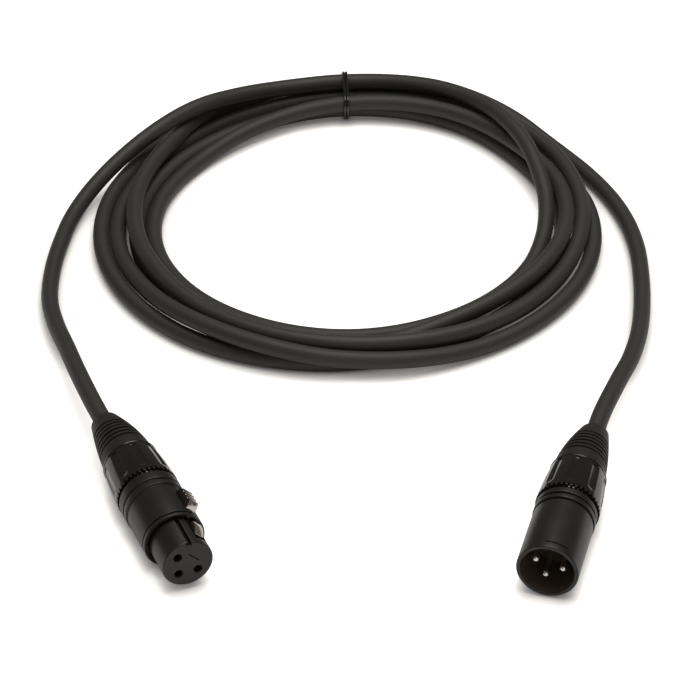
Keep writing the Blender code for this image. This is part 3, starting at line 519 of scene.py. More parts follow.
def carve_block(
    piece: bpy.types.Object,
    name: str,
    low: Corner,
    high: Corner,
    soft: float,
    roll: float,
    union: bool = False,
) -> None:
    """Cut a rounded box out of a piece, or join it on.

    Args:
        piece: The piece.
        name: The box's name.
        low: Its low corner at roll zero.
        high: Its high corner there.
        soft: Width of the rounding.
        roll: Where it goes round the connector's axis, in degrees.
        union: Join instead of cutting.
    """
    tool = object_of(block(name, low, high, soft), None)
    tool.data.transform(rolled(roll))
    carve(piece, tool, union)


def drill(
    piece: bpy.types.Object,
    name: str,
    outline: Sequence[Point],
    place: Matrix,
    segments: int = 32,
) -> None:
    """Cut a round hole out of a piece.

    Args:
        piece: The piece.
        name: The tool's name.
        outline: The hole's outline of radius and station.
        place: Where the hole's axis lies.
        segments: Facets round the hole.
    """
    tool = object_of(lathed(name, outline, segments), None)
    tool.data.transform(place)
    carve(piece, tool)


class CopyRow:
    """Geometry Nodes tree that repeats a shape along a line or round an axis."""

    def __init__(self) -> None:
        """Build the tree with its named inputs."""
        self.tree = bpy.data.node_groups.new("row_of_copies", "GeometryNodeTree")
        self.tree.is_modifier = True
        self.sockets: dict[str, str] = {}
        self._input("Geometry", "NodeSocketGeometry")
        self._input("Copies", "NodeSocketInt")
        self._input("Turn", "NodeSocketFloat")
        self._input("Shift", "NodeSocketVector")
        self._input("Finish", "NodeSocketMaterial")
        self.tree.interface.new_socket("Geometry", in_out="OUTPUT",
                                       socket_type="NodeSocketGeometry")
        self._wire()

    def _input(self, name: str, kind: str) -> None:
        """Add a named input and keep its identifier."""
        made = self.tree.interface.new_socket(name, in_out="INPUT", socket_type=kind)
        self.sockets[name] = made.identifier

    def _wire(self) -> None:
        """Join the nodes: points in a line, turned copies, real meshes, finish."""
        new, link = self.tree.nodes.new, self.tree.links.new
        given, result = new("NodeGroupInput"), new("NodeGroupOutput")
        line = new("GeometryNodeMeshLine")
        line.mode = "OFFSET"
        link(given.outputs["Copies"], line.inputs["Count"])
        link(given.outputs["Shift"], line.inputs["Offset"])
        number = new("GeometryNodeInputIndex").outputs[0]
        angle = worked_out(self.tree, "MULTIPLY", number, given.outputs["Turn"])
        spin, turn = new("ShaderNodeCombineXYZ"), new("FunctionNodeEulerToRotation")
        link(angle, spin.inputs["Z"])
        link(spin.outputs[0], turn.inputs[0])
        copies = new("GeometryNodeInstanceOnPoints")
        link(line.outputs[0], copies.inputs["Points"])
        link(given.outputs["Geometry"], copies.inputs["Instance"])
        link(turn.outputs[0], copies.inputs["Rotation"])
        real, dress = new("GeometryNodeRealizeInstances"), new("GeometryNodeSetMaterial")
        link(copies.outputs[0], real.inputs[0])
        link(real.outputs[0], dress.inputs["Geometry"])
        link(given.outputs["Finish"], dress.inputs["Material"])
        link(dress.outputs[0], result.inputs[0])

    def repeat(
        self,
        mesh: bpy.types.Mesh,
        copies: int,
        finish: Finish,
        turn: float = 0.0,
        shift: float = 0.0,
    ) -> bpy.types.Object:
        """Repeat a shape and return the copies as one plain mesh object.

        Args:
            mesh: The first copy.
            copies: How many in all.
            finish: What they are made of.
            turn: Degrees about local Z between copies.
            shift: Metres along local Z between copies.

        Returns:
            The object that holds every copy.
        """
        row = object_of(mesh, finish)
        step = row.modifiers.new("row", "NODES")
        step.node_group = self.tree
        step[self.sockets["Copies"]] = copies
        step[self.sockets["Turn"]] = math.radians(turn)
        step[self.sockets["Shift"]] = (0.0, 0.0, shift)
        step[self.sockets["Finish"]] = finish.material()
        settle_modifiers(row)
        return row


# --- Cable ------------------------------------------------------------------
Stations = tuple[tuple[Point, ...], ...]


def through(knots: np.ndarray, values: np.ndarray, wanted: np.ndarray) -> np.ndarray:
    """Read a smooth curve through values at uneven knots.

    Args:
        knots: Rising places of the values.
        values: The values, one row for each knot.
        wanted: Places to read.

    Returns:
        The values at the wanted places.
    """
    slope = np.gradient(values, knots, axis=0)
    cell = np.clip(np.searchsorted(knots, wanted, side="right") - 1, 0, len(knots) - 2)
    span = (knots[cell + 1] - knots[cell])[:, None]
    t = (wanted - knots[cell])[:, None] / span
    rise = values[cell + 1] - values[cell]
    return (values[cell] + t * t * (3 - 2 * t) * rise
            + t * (1 - t) ** 2 * span * slope[cell]
            + t * t * (t - 1) * span * slope[cell + 1])


def lengths_along(rows: np.ndarray) -> np.ndarray:
    """Return how far along a line of points each point lies."""
    return np.r_[0.0, np.cumsum(np.linalg.norm(np.diff(rows, axis=0), axis=1))]


@dataclass
class CableRun:
    """The cable from boot to boot: two free tails and five turns under one tie.

    Attributes:
        diameter: Thickness of the cable.
        lowest: Height of its middle where it lies on the table.
        strand_gap: Air between two strands of the pile.
        tie_lift: How far the tie lifts the pile off the table.
        tie_spread: Degrees from the tie over which that lift fades out.
        loop_points: Points in one turn.
        sweeps: How often all strands are pushed apart.
        sides: Facets round the cable.
        step: Distance between points of the centreline.
        centre: Middle of the coil.
        station_step: Degrees between the stations of a turn.
        length: Length of the finished centreline.
        line: The finished centreline.
    """

    diameter: float = 6.0 * MM
    lowest: float = 3.1 * MM
    strand_gap: float = 0.15 * MM
    tie_lift: float = 1.1 * MM
    tie_spread: float = 45.0
    loop_points: int = 48
    sweeps: int = 90
    sides: int = 24
    step: float = 3.5 * MM
    centre: Vector = field(default_factory=lambda: Vector((0.0020, 0.0780, 0.0)) - ORIGIN)
    station_step: float = 30.0
    length: float = field(init=False)
    line: np.ndarray = field(init=False)

    def turns(self) -> Stations:
        """Say where each turn lies, from the back of the coil clockwise seen from above.

        Returns:
            For each turn, distance from the coil's centre and height at every station.
        """
        low = self.lowest
        return (
            ((0.0860, 0.0111), (0.0837, 0.0144), (0.0756, 0.0162), (0.0742, 0.0086),
             (0.0757, low), (0.0785, low), (0.0810, low), (0.0787, low),
             (0.0745, low), (0.0701, low), (0.0669, low), (0.0675, 0.0065)),
            ((0.0716, 0.0091), (0.0763, 0.0095), (0.0766, 0.0097), (0.0811, 0.0096),
             (0.0830, 0.0096), (0.0840, 0.0076), (0.0876, 0.0033), (0.0854, low),
             (0.0809, low), (0.0762, low), (0.0732, low), (0.0731, 0.0034)),
            ((0.0760, 0.0042), (0.0788, 0.0034), (0.0770, low), (0.0795, low),
             (0.0838, low), (0.0888, low), (0.0957, low), (0.0974, low),
             (0.0935, low), (0.0892, low), (0.0866, low), (0.0928, 0.0034)),
            ((0.0977, 0.0042), (0.0899, 0.0034), (0.0861, low), (0.0907, low),
             (0.0951, low), (0.0983, 0.0032), (0.1003, 0.0077), (0.0953, 0.0093),
             (0.0884, 0.0054), (0.0835, low), (0.0806, low), (0.0824, 0.0034)),
            ((0.0856, 0.0043), (0.0846, 0.0078), (0.0855, 0.0097), (0.0871, 0.0087),
             (0.0891, 0.0063), (0.0934, 0.0079), (0.0939, 0.0095), (0.0883, 0.0090),
             (0.0812, 0.0097), (0.0775, 0.0096), (0.0782, 0.0094), (0.0879, 0.0080)),
        )

    def leads(self) -> tuple[list[Corner], list[Corner]]:
        """Say where the ends lie that run over the pile.

        Returns:
            Angle, distance and height of the female end's points and the male end's.
        """
        low = self.lowest
        female = [(-105.0, 0.1076, low), (-90.0, 0.0996, 0.0046), (-75.0, 0.0912, 0.0088),
                  (-60.0, 0.0837, 0.0141), (-45.0, 0.0810, 0.0158), (-30.0, 0.0824, 0.0133),
                  (-15.0, 0.0847, 0.0110)]
        male = [(0.0, 0.0916, 0.0072), (15.0, 0.0911, 0.0093), (30.0, 0.0908, 0.0099),
                (45.0, 0.0917, 0.0071), (60.0, 0.0928, 0.0040), (75.0, 0.0968, low),
                (90.0, 0.1026, low), (105.0, 0.1095, low)]
        return female, male

    def free_points(self) -> tuple[list[Corner], list[Corner]]:
        """Say where the two free tails lie on the traced ground plan.

        Returns:
            Points of the female tail and the male tail, from boot to coil.
        """
        low = self.lowest
        female = [(-0.0872, -0.0314, 0.0090), (-0.0925, -0.0147, 0.0070),
                  (-0.0981, 0.0029, 0.0047), (-0.1020, 0.0200, 0.0033), (-0.1029, 0.0354, low)]
        male = [(0.0918, -0.0371, 0.0091), (0.0979, -0.0206, 0.0070),
                (0.1029, -0.0015, 0.0047), (0.1059, 0.0174, 0.0033), (0.1075, 0.0360, low)]
        return female, male

    def _floor(self, angles: np.ndarray) -> np.ndarray:
        """Find how low a strand may lie: on the table, or on the tie below it.

        Args:
            angles: Degrees round the coil, with the tie at zero.

        Returns:
            The lowest height at each angle.
        """
        from_tie = np.abs((angles + 180.0) % 360.0 - 180.0)
        near = np.clip(from_tie / self.tie_spread, 0.0, 1.0)
        return self.lowest + self.tie_lift * 0.5 * (1 + np.cos(np.pi * near))

    def _push_apart(
        self, radii: np.ndarray, heights: np.ndarray, far: int, share: float
    ) -> None:
        """Part two strands that lie so many points apart.

        Args:
            radii: Distances from the centre, changed in place.
            heights: Heights, changed in place.
            far: Points between the two strands.
            share: Where between two points they are looked at.
        """
        here = (1 - share) * radii[:-1] + share * radii[1:]
        level = (1 - share) * heights[:-1] + share * heights[1:]
        across, above = here[far:] - here[:-far], level[far:] - level[:-far]
        distance = np.hypot(across, above)
        push = np.maximum(self.diameter + self.strand_gap - distance, 0.0) / 2 / distance
        for values, offset in ((radii, across), (heights, above)):
            values[far:-1] += (1 - share) * push * offset
            values[far + 1:] += share * push * offset
            values[:-far - 1] -= (1 - share) * push * offset
            values[1:-far] -= share * push * offset

    def wound(self) -> np.ndarray:
        """Wind the turns and push their strands clear of each other.

        Returns:
            Points of the wound stretch, from the female end to the male end.
        """
        female, male = self.leads()
        rows = list(female)
        for turn, row in enumerate(self.turns()):
            for number, (radius, height) in enumerate(row):
                rows.append((360.0 * turn + self.station_step * number, radius, height))
        last = 360.0 * len(self.turns())
        rows += [(last + angle, radius, height) for angle, radius, height in male]
        table = np.array(rows)
        step = 360.0 / self.loop_points
        angles = np.arange(table[0, 0] + step / 2, table[-1, 0], step)
        radii, heights = through(table[:, 0], table[:, 1:], angles).T.copy()
        floor = self._floor(angles)
        for _ in range(self.sweeps):
            for apart in range(1, len(self.turns()) + 2):
                self._push_apart(radii, heights, apart * self.loop_points, 0.0)
                self._push_apart(radii, heights, apart * self.loop_points, 0.5)
            np.maximum(heights, floor, out=heights)
        at = np.radians(angles)
        return np.stack([self.centre.x + radii * np.sin(at),
                         self.centre.y + radii * np.cos(at), heights], axis=1)

    def tail(self, start: Vector, aim: Vector, free: list[Corner], lead: np.ndarray) -> np.ndarray:
        """Return a free tail's points, from its boot up to the wound stretch.

        Args:
            start: The middle of the cable at the boot's end.
            aim: Direction out of the boot.
            free: Points of the tail on the traced ground plan.
            lead: The wound stretch, from the tail's side.

        Returns:
            Points a step apart, without the wound stretch's first.
        """
        knots = [start, start + aim * self.diameter / 2, start + aim * self.diameter]
        knots += [Vector(point) - ORIGIN for point in free]
        rows = np.array([tuple(knot) for knot in knots] + [tuple(lead[0]), tuple(lead[2])])
        lengths = lengths_along(rows)
        wanted = np.arange(0.0, lengths[-2] - self.step / 2, self.step)
        return through(lengths, rows, wanted)

    def path(self, female: "ConnectorAxis", male: "ConnectorAxis") -> np.ndarray:
        """Return the whole centreline, from the socket's boot to the plug's.

        Args:
            female: The socket's axis.
            male: The plug's axis.

        Returns:
            Points an even step apart.
        """
        wound = self.wound()
        free_female, free_male = self.free_points()
        first = self.tail(female.boot_end(), female.back(), free_female, wound)
        last = self.tail(male.boot_end(), male.back(), free_male, wound[::-1])
        rows = np.concatenate([first, wound, last[::-1]])
        lengths = lengths_along(rows)
        count = int(round(lengths[-1] / self.step))
        return through(lengths, rows, np.linspace(0.0, lengths[-1], count + 1))

    def mesh(self, path: np.ndarray) -> bpy.types.Mesh:
        """Sweep the jacket along the centreline, with its length in the UV map.

        Args:
            path: The centreline.

        Returns:
            The closed tube.
        """
        ahead = np.gradient(path, axis=0)
        ahead /= np.linalg.norm(ahead, axis=1)[:, None]
        side = np.cross(ahead[0], (0.0, 0.0, 1.0))
        lengths = lengths_along(path)
        angles = np.linspace(0.0, 2 * np.pi, self.sides, endpoint=False)
        bm = bmesh.new()
        rings = []
        for point, aim in zip(path, ahead):
            side = side - aim * (side @ aim)
            side /= np.linalg.norm(side)
            up = np.cross(side, aim)
            around = np.outer(np.cos(angles), side) + np.outer(np.sin(angles), up)
            rings.append([bm.verts.new(point + self.diameter / 2 * out) for out in around])
        layer = bm.loops.layers.uv.new("UVMap")
        for number, face in enumerate(skin(bm, rings)):
            index, facet = divmod(number, self.sides)
            places = ((facet, index), (facet + 1, index), (facet + 1, index + 1),
                      (facet, index + 1))
            for loop, (across, along) in zip(face.loops, places):
                loop[layer].uv = (across / self.sides * math.pi * self.diameter,
                                  lengths[along])
        return mesh_of("cable_jacket", bm)

    def build(self, female: "ConnectorAxis", male: "ConnectorAxis") -> bpy.types.Object:
        """Args:
            female: The socket's axis, where the cord starts.
            male: The plug's axis, where it ends.

        Returns:
            The jacket.
        """
        path = self.path(female, male)
        jacket = object_of(self.mesh(path), JACKET)
        soften(jacket)
        present(jacket, "cable", "jacket", "cable_coil", "cable_tail_female", "cable_tail_male")
        self.length = float(lengths_along(path)[-1])
        self.line = path
        return jacket

    def declare(self) -> None:
        """Log the cable's length.
        """
        LOG.info("cable length %.0f mm", self.length / MM)


@dataclass
class CoilTie:
    """Two turns of thin glossy cord round the strands at the back of the coil.

    Attributes:
        strand: Radius of the cord.
        pitch: Distance between its turns.
        strands: How many turns it takes.
        slant: How far a turn drifts along X from its front to its back.
        clearance: Air between the cable and the cord.
        facets: Points round each strand of the cable, for the cord's line.
        sides: Facets round the cord.
    """

    strand: float = 0.50 * MM
    pitch: float = 1.12 * MM
    strands: int = 2
    slant: float = 1.3 * MM
    clearance: float = 0.12 * MM
    facets: int = 24
    sides: int = 16

    def section(self, run: CableRun) -> list[Point]:
        """Return where the cable's strands pass under the tie.

        Args:
            run: The cable, already built.

        Returns:
            Places along Y and Z.
        """
        found = []
        for this, following in zip(run.line, run.line[1:]):
            behind = this[1] > run.centre.y
            if behind and (this[0] - run.centre.x) * (following[0] - run.centre.x) <= 0:
                share = (run.centre.x - this[0]) / (following[0] - this[0])
                point = this + share * (following - this)
                found.append((float(point[1]), float(point[2])))
        return found

    def outline(self, section: list[Point], reach: float) -> list[Vector]:
        """Return the cord's line: the hull of circles round the strands.

        Args:
            section: Where the strands are.
            reach: Distance of the line from a strand's middle.

        Returns:
            Points of the closed line.
        """
        points = []
        for along, above in section:
            for facet in range(self.facets):
                angle = 2 * math.pi * facet / self.facets
                points.append((along + reach * math.cos(angle), above + reach * math.sin(angle)))
        points.sort()
        hull: list[Point] = []
        for walk in (points, points[::-1]):
            chain: list[Point] = []
            for point in walk:
                while len(chain) > 1 and self._turn(chain[-2], chain[-1], point) <= 0:
                    chain.pop()
                chain.append(point)
            hull += chain[:-1]
        return [Vector((0.0, along, above)) for along, above in hull]

    @staticmethod
    def _turn(first: Point, second: Point, third: Point) -> float:
        """Return a positive number where three points turn to the left."""
        return ((second[0] - first[0]) * (third[1] - first[1])
                - (second[1] - first[1]) * (third[0] - first[0]))

    def build(self, run: CableRun) -> bpy.types.Object:
        """Make the tie.

        Args:
            run: The cable, already built.

        Returns:
            The tie.
        """
        reach = run.diameter / 2 + self.clearance + self.strand
        line = self.outline(self.section(run), reach)
        bm = bmesh.new()
        for number in range(self.strands):
            aside = (number - (self.strands - 1) / 2) * self.pitch
            self._loop(bm, line, run.centre.x + aside)
        band = object_of(mesh_of("coil_tie_band", bm), TIE)
        soften(band, 60.0)
        present(band, "cable", "tie", "coil_tie")
        return band

    def _loop(self, bm: bmesh.types.BMesh, line: list[Vector], across: float) -> None:
        """Add one closed turn of the cord.

        Args:
            bm: The tie's bmesh.
            line: The closed line that it follows.
            across: Its place along X.
        """
        rings = []
        count = len(line)
        front, back = min(point.y for point in line), max(point.y for point in line)
        for index, point in enumerate(line):
            ahead = (line[(index + 1) % count] - line[index - 1]).normalized()
            out = Vector((0.0, ahead.z, -ahead.y))
            ring = []
            for side in range(self.sides):
                angle = 2 * math.pi * side / self.sides
                offset = Vector((math.cos(angle), 0.0, 0.0)) + out * math.sin(angle)
                aside = across + self.slant * (0.5 - (point.y - front) / (back - front))
                ring.append(bm.verts.new(point + Vector((aside, 0.0, 0.0))
                                         + offset * self.strand))
            rings.append(ring)
        skin(bm, rings, closed=True)


# --- Connectors ---------------------------------------------------------------
@dataclass(frozen=True)
class ConnectorAxis:
    """Where a connector lies.

    Attributes:
        mouth: Middle of its mating face.
        heading: Degrees from Y towards X in which its cable leaves.
        length: From the mating face to the end of the boot.
        bend: How far the boot's end leans to the connector's right.
    """

    mouth: Vector
    heading: float
    length: float
    bend: float

    def back(self) -> Vector:
        """Return the direction from the mating face to the cable."""
        turn = math.radians(self.heading)
        return Vector((math.sin(turn), math.cos(turn), 0.0))

    def boot_end(self) -> Vector:
        """Return where the cable leaves the boot."""
        aside = Vector((self.back().y, -self.back().x, 0.0))
        return self.mouth + self.back() * self.length + aside * self.bend

    def matrix(self) -> Matrix:
        """Work out the connector's frame: X up, Y right, Z rearwards.

        Returns:
            The matrix from that frame to the part's.
        """
        turn = math.radians(self.heading)
        right = Vector((math.cos(turn), -math.sin(turn), 0.0))
        frame = Matrix((Vector((0, 0, 1)), right, self.back())).transposed().to_4x4()
        return Matrix.Translation(self.mouth) @ frame

    def lay(self, piece: bpy.types.Object) -> None:
        """Move a piece's mesh from the connector's own frame to its place."""
        piece.data.transform(self.matrix())
        piece.data.update()


FEMALE_AXIS = ConnectorAxis(mouth=Vector((-0.0453, -0.1307, 0.0101)) - ORIGIN, heading=-23.0,
                            length=75.2 * MM, bend=-0.9 * MM)
MALE_AXIS = ConnectorAxis(mouth=Vector((0.0615, -0.1342, 0.0101)) - ORIGIN, heading=15.8,
                          length=69.6 * MM, bend=0.9 * MM)


def present(piece: bpy.types.Object, body: str, slot: str, *nodes: str) -> None:
    """Make a piece stand for CAD nodes and ride on a body.

    Args:
        piece: The finished piece.
        body: The CAD body that it moves with.
        slot: The record's material slot; not used.
        nodes: The nodes that it stands for.
    """
    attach(piece, body)
    if nodes:
        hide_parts(*nodes)
    LOG.info("%s: %d faces, for %s", piece.name, len(piece.data.polygons), ", ".join(nodes))


@dataclass
class RearEnd:
    """Nut and boot, alike on both connectors.

    Stations run rearwards from the front edge of the nut's solid. The visible nut starts
    a dark gap behind it.

    Attributes:
        side: Which connector it is on, as the nodes' names say.
        axis: Where the connector lies.
        nut_at: Station of the nut's front edge behind the mating face.
        copies: The tree that repeats notches and panels.
        nut_d: Diameter of the nut at its front.
        nut_rear_d: Diameter at its rear.
        nut_length: Length of the nut.
        nut_gap: Dark gap in front of it.
        nut_bore: Radius of its threaded bore.
        nut_throat: Radius of the narrower bore round the boot.
        throat_at: Where that bore starts.
        bulge: Power of the curve between the two diameters.
        rim_rise: How far the rear rim stands proud.
        rim_length: Length of the rear rim.
        edge_round: Width of the bevel on its edges.
        notches: Notches in the front edge.
        notch_depth: Depth of a notch, inwards.
        notch_length: Length of a notch, rearwards.
        notch_width: Width of a notch at the front edge.
        panels: Shallow grip panels round the nut.
        panel_start: Where a panel starts.
        panel_end: Where it ends.
        panel_half: Half its width.
        panel_turn: Radius of its corners.
        panel_depth: Depth of a panel.
        panel_rows: Sections of the tool that cuts it.
        boot_gap: Gap between nut and boot.
        boot_root: Radius of the boot behind the nut.
        boot_tip: Radius that its taper ends with.
        boot_length: Length of the boot behind the nut.
        boot_bulge: Power of its taper.
        boot_steps: Points along the taper.
        root_step: Rounding at the root.
        tip_round: Rounding at the tip.
        sleeve: Radius of the sleeve inside the nut.
        sleeve_bore: Radius of the sleeve's bore.
        sleeve_at: Where the sleeve starts.
        cable_bore: Radius of the bore round the cable.
        funnel: Radius that the sleeve's bore narrows to.
        funnel_at: Where it ends and the bore round the cable starts.
        grooves: Grooves between the ribs.
        groove_first: Middle of the first groove behind the root.
        groove_pitch: Distance between grooves.
        groove_depth: Depth of a groove.
        groove_half: Half the width of a groove.
    """

    side: str
    axis: ConnectorAxis
    nut_at: float
    copies: CopyRow
    nut_d: float = 20.2 * MM
    nut_rear_d: float = 17.8 * MM
    nut_length: float = 18.0 * MM
    nut_gap: float = 0.6 * MM
    nut_bore: float = 8.5 * MM
    nut_throat: float = 8.3 * MM
    throat_at: float = 7.8 * MM
    bulge: float = 1.8
    rim_rise: float = 0.25 * MM
    rim_length: float = 0.7 * MM
    edge_round: float = 0.14 * MM
    notches: int = 40
    notch_depth: float = 0.95 * MM
    notch_length: float = 2.1 * MM
    notch_width: float = 1.45 * MM
    panels: int = 9
    panel_start: float = 3.4 * MM
    panel_end: float = 16.2 * MM
    panel_half: float = 1.4 * MM
    panel_turn: float = 0.9 * MM
    panel_depth: float = 0.22 * MM
    panel_rows: int = 24
    boot_gap: float = 0.3 * MM
    boot_root: float = 8.45 * MM
    boot_tip: float = 4.6 * MM
    boot_length: float = 22.6 * MM
    boot_bulge: float = 1.7
    boot_steps: int = 190
    root_step: float = 0.45 * MM
    tip_round: float = 0.85 * MM
    sleeve: float = 8.0 * MM
    sleeve_bore: float = 6.6 * MM
    sleeve_at: float = 8.1 * MM
    cable_bore: float = 3.15 * MM
    funnel: float = 5.3 * MM
    funnel_at: float = 17.1 * MM
    grooves: int = 6
    groove_first: float = 4.9 * MM
    groove_pitch: float = 2.1 * MM
    groove_depth: float = 0.75 * MM
    groove_half: float = 0.42 * MM

    def nut_radius(self, at: float) -> float:
        """Return the nut's outer radius at a distance behind its front edge."""
        front, rear = self.nut_d / 2, self.nut_rear_d / 2
        return front - (front - rear) * (at / self.nut_length) ** self.bulge

    def nut(self) -> bpy.types.Object:
        """Make the glossy nut with its notched front edge and grip panels.

        Returns:
            The nut.
        """
        rim, stations = self.nut_rear_d / 2 + self.rim_rise, 20
        corners: list[Corner] = [(self.nut_bore, self.nut_gap, 0.1 * MM),
                                 (self.nut_d / 2, self.nut_gap, 0.35 * MM)]
        for step in range(2, stations):
            at = self.nut_length * step / stations
            corners.append((self.nut_radius(at), at, 0.0))
        corners += [(rim, self.nut_length - self.rim_length, 0.15 * MM),
                    (rim, self.nut_length, 0.25 * MM),
                    (self.nut_throat, self.nut_length, 0.0),
                    (self.nut_throat, self.throat_at, 0.0), (self.nut_bore, self.throat_at, 0.0)]
        nut = object_of(lathed(f"{self.side}_nut_moulding", rounded(corners), 160), GLOSS)
        for tool, count in ((self._notch(), self.notches), (self._panel(), self.panels)):
            carve(nut, self.copies.repeat(tool, count, GLOSS, turn=360.0 / count))
        round_edges(nut, self.edge_round, 24.0)
        # Notches and panel walls take a painted shade.
        refinish(nut, PAINTED_RECESS_SHADE, self._shaded)
        nut.data.transform(Matrix.Translation((0.0, 0.0, self.nut_at)))
        soften(nut, 28.0)
        self.axis.lay(nut)
        present(nut, "cable", "gloss_plastic", f"{self.side}_nut")
        return nut

    def _notch(self) -> bpy.types.Mesh:
        """Return the wedge that cuts one notch into the front edge.

        Returns:
            The closed mesh.
        """
        bm = bmesh.new()
        half, before = self.notch_width / 2, -0.2 * MM
        rims = [bm.verts.new((self.nut_d / 2 + out * self.notch_depth, across, at))
                for out in (-1.0, 1.2)
                for across, at in ((-half, before), (half, before), (0.0, self.notch_length))]
        bm.faces.new(rims[:3])
        bm.faces.new(rims[3:])
        for one, two in ((0, 1), (1, 2), (2, 0)):
            bm.faces.new((rims[one], rims[two], rims[two + 3], rims[one + 3]))
        return mesh_of(f"{self.side}_nut_notches", bm)

    def _panel(self) -> bpy.types.Mesh:
        """Return the tool for one shallow grip panel, which follows the nut's barrel.

        Returns:
            The closed mesh.
        """
        bm = bmesh.new()
        clear, flare = 2.0 * MM, 1.2
        sections = []
        for row in range(self.panel_rows + 1):
            at = self.panel_start + (self.panel_end - self.panel_start) * row / self.panel_rows
            near = min(1.0, min(at - self.panel_start, self.panel_end - at) / self.panel_turn)
            across = self.panel_half - self.panel_turn * (
                1.0 - math.sqrt(1.0 - (1.0 - near) ** 2))
            floor = self.nut_radius(at) - self.panel_depth
            sections.append([bm.verts.new((floor + out, side * across, at))
                             for out, side in ((0.0, -1), (0.0, 1), (clear, flare),
                                               (clear, -flare))])
        skin(bm, sections)
        return mesh_of(f"{self.side}_nut_panels", bm)

    def _shaded(self, face: bpy.types.MeshPolygon, out: float) -> bool:
        """Tell whether a face lies in a notch or is the wall of a panel.

        Args:
            face: A face of the nut, which still lies about its own axis.
            out: Its distance from the axis.

        Returns:
            True where the face takes the painted shade.
        """
        at = face.center.z
        deep = self.notch_depth + 0.1 * MM if at < self.notch_length else 0.4 * MM
        outwards = Vector((face.center.x, face.center.y, 0.0)).normalized()
        return (at < self.panel_end + 0.3 * MM
                and out > self.nut_radius(max(at, 0.0)) - deep
                and face.normal.dot(outwards) < 0.95)

    def boot(self) -> bpy.types.Object:
        """Make the rubber boot, with round-bottomed grooves between its ribs.

        Returns:
            The boot.
        """
        rear = self.nut_length + self.boot_gap
        end = rear + self.boot_length
        outline = [(self.sleeve_bore, self.sleeve_at), (self.sleeve, self.sleeve_at),
                   (self.sleeve, rear + 0.3 * MM), (self.boot_root - 0.15 * MM, rear + 0.3 * MM)]
        centres = [self.groove_first + number * self.groove_pitch
                   for number in range(self.grooves)]
        tapered = self.boot_length - self.root_step - self.tip_round
        for step in range(self.boot_steps + 1):
            at = self.root_step + tapered * step / self.boot_steps
            share = (at / self.boot_length) ** self.boot_bulge
            radius = self.boot_root - (self.boot_root - self.boot_tip) * share
            for centre in centres:
                away = abs(at - centre) / self.groove_half
                radius -= self.groove_depth * max(0.0, 1.0 - away**4)
            outline.append((radius, rear + at))
        tip, facets = outline[-1][0], 5
        for step in range(1, facets + 1):
            angle = math.pi / 2 * step / facets
            outline.append((tip - self.tip_round * (1 - math.cos(angle)),
                            end - self.tip_round * (1 - math.sin(angle))))
        outline += [(self.cable_bore + 0.15 * MM, end), (self.cable_bore, end - 0.3 * MM),
                    (self.cable_bore, self.funnel_at), (self.funnel, self.funnel_at)]
        boot = object_of(lathed(f"{self.side}_boot_rubber", outline, 96), RUBBER)
        # The bottoms of the grooves take a painted shade.
        refinish(boot, PAINTED_RECESS_SHADE, lambda face, out: out > self.boot_tip - MM and any(
            abs(face.center.z - rear - centre) < 0.9 * self.groove_half for centre in centres))
        for vert in boot.data.vertices:
            along = max(0.0, (vert.co.z - rear) / self.boot_length)
            vert.co.y += self.axis.bend * along * along
        boot.data.transform(Matrix.Translation((0.0, 0.0, self.nut_at)))
        soften(boot, 50.0)
        self.axis.lay(boot)
        present(boot, "cable", "rubber", f"{self.side}_boot")
        return boot

    def build(self) -> list[bpy.types.Object]:
        """Make both pieces."""
        return [self.nut(), self.boot()]


def ring_corners(start: float, pitch: float, radius: float, end: float) -> list[Corner]:
    """Return the corners of two raised rings between narrow grooves.

    Args:
        start: Station of the first groove.
        pitch: Distance between grooves.
        radius: Radius of the rings.
        end: Station of the shoulder behind them.

    Returns:
        Corners of radius, station and rounding.
    """
    floor, floor_half, top_half = radius - 0.6 * MM, 0.25 * MM, 0.45 * MM
    corners: list[Corner] = []
    for groove in (start, start + pitch):
        corners += [(floor, groove - floor_half, 0.08 * MM),
                    (floor, groove + floor_half, 0.08 * MM),
                    (radius, groove + top_half, 0.2 * MM),
                    (radius, min(groove + pitch - top_half, end), 0.2 * MM)]
    return corners


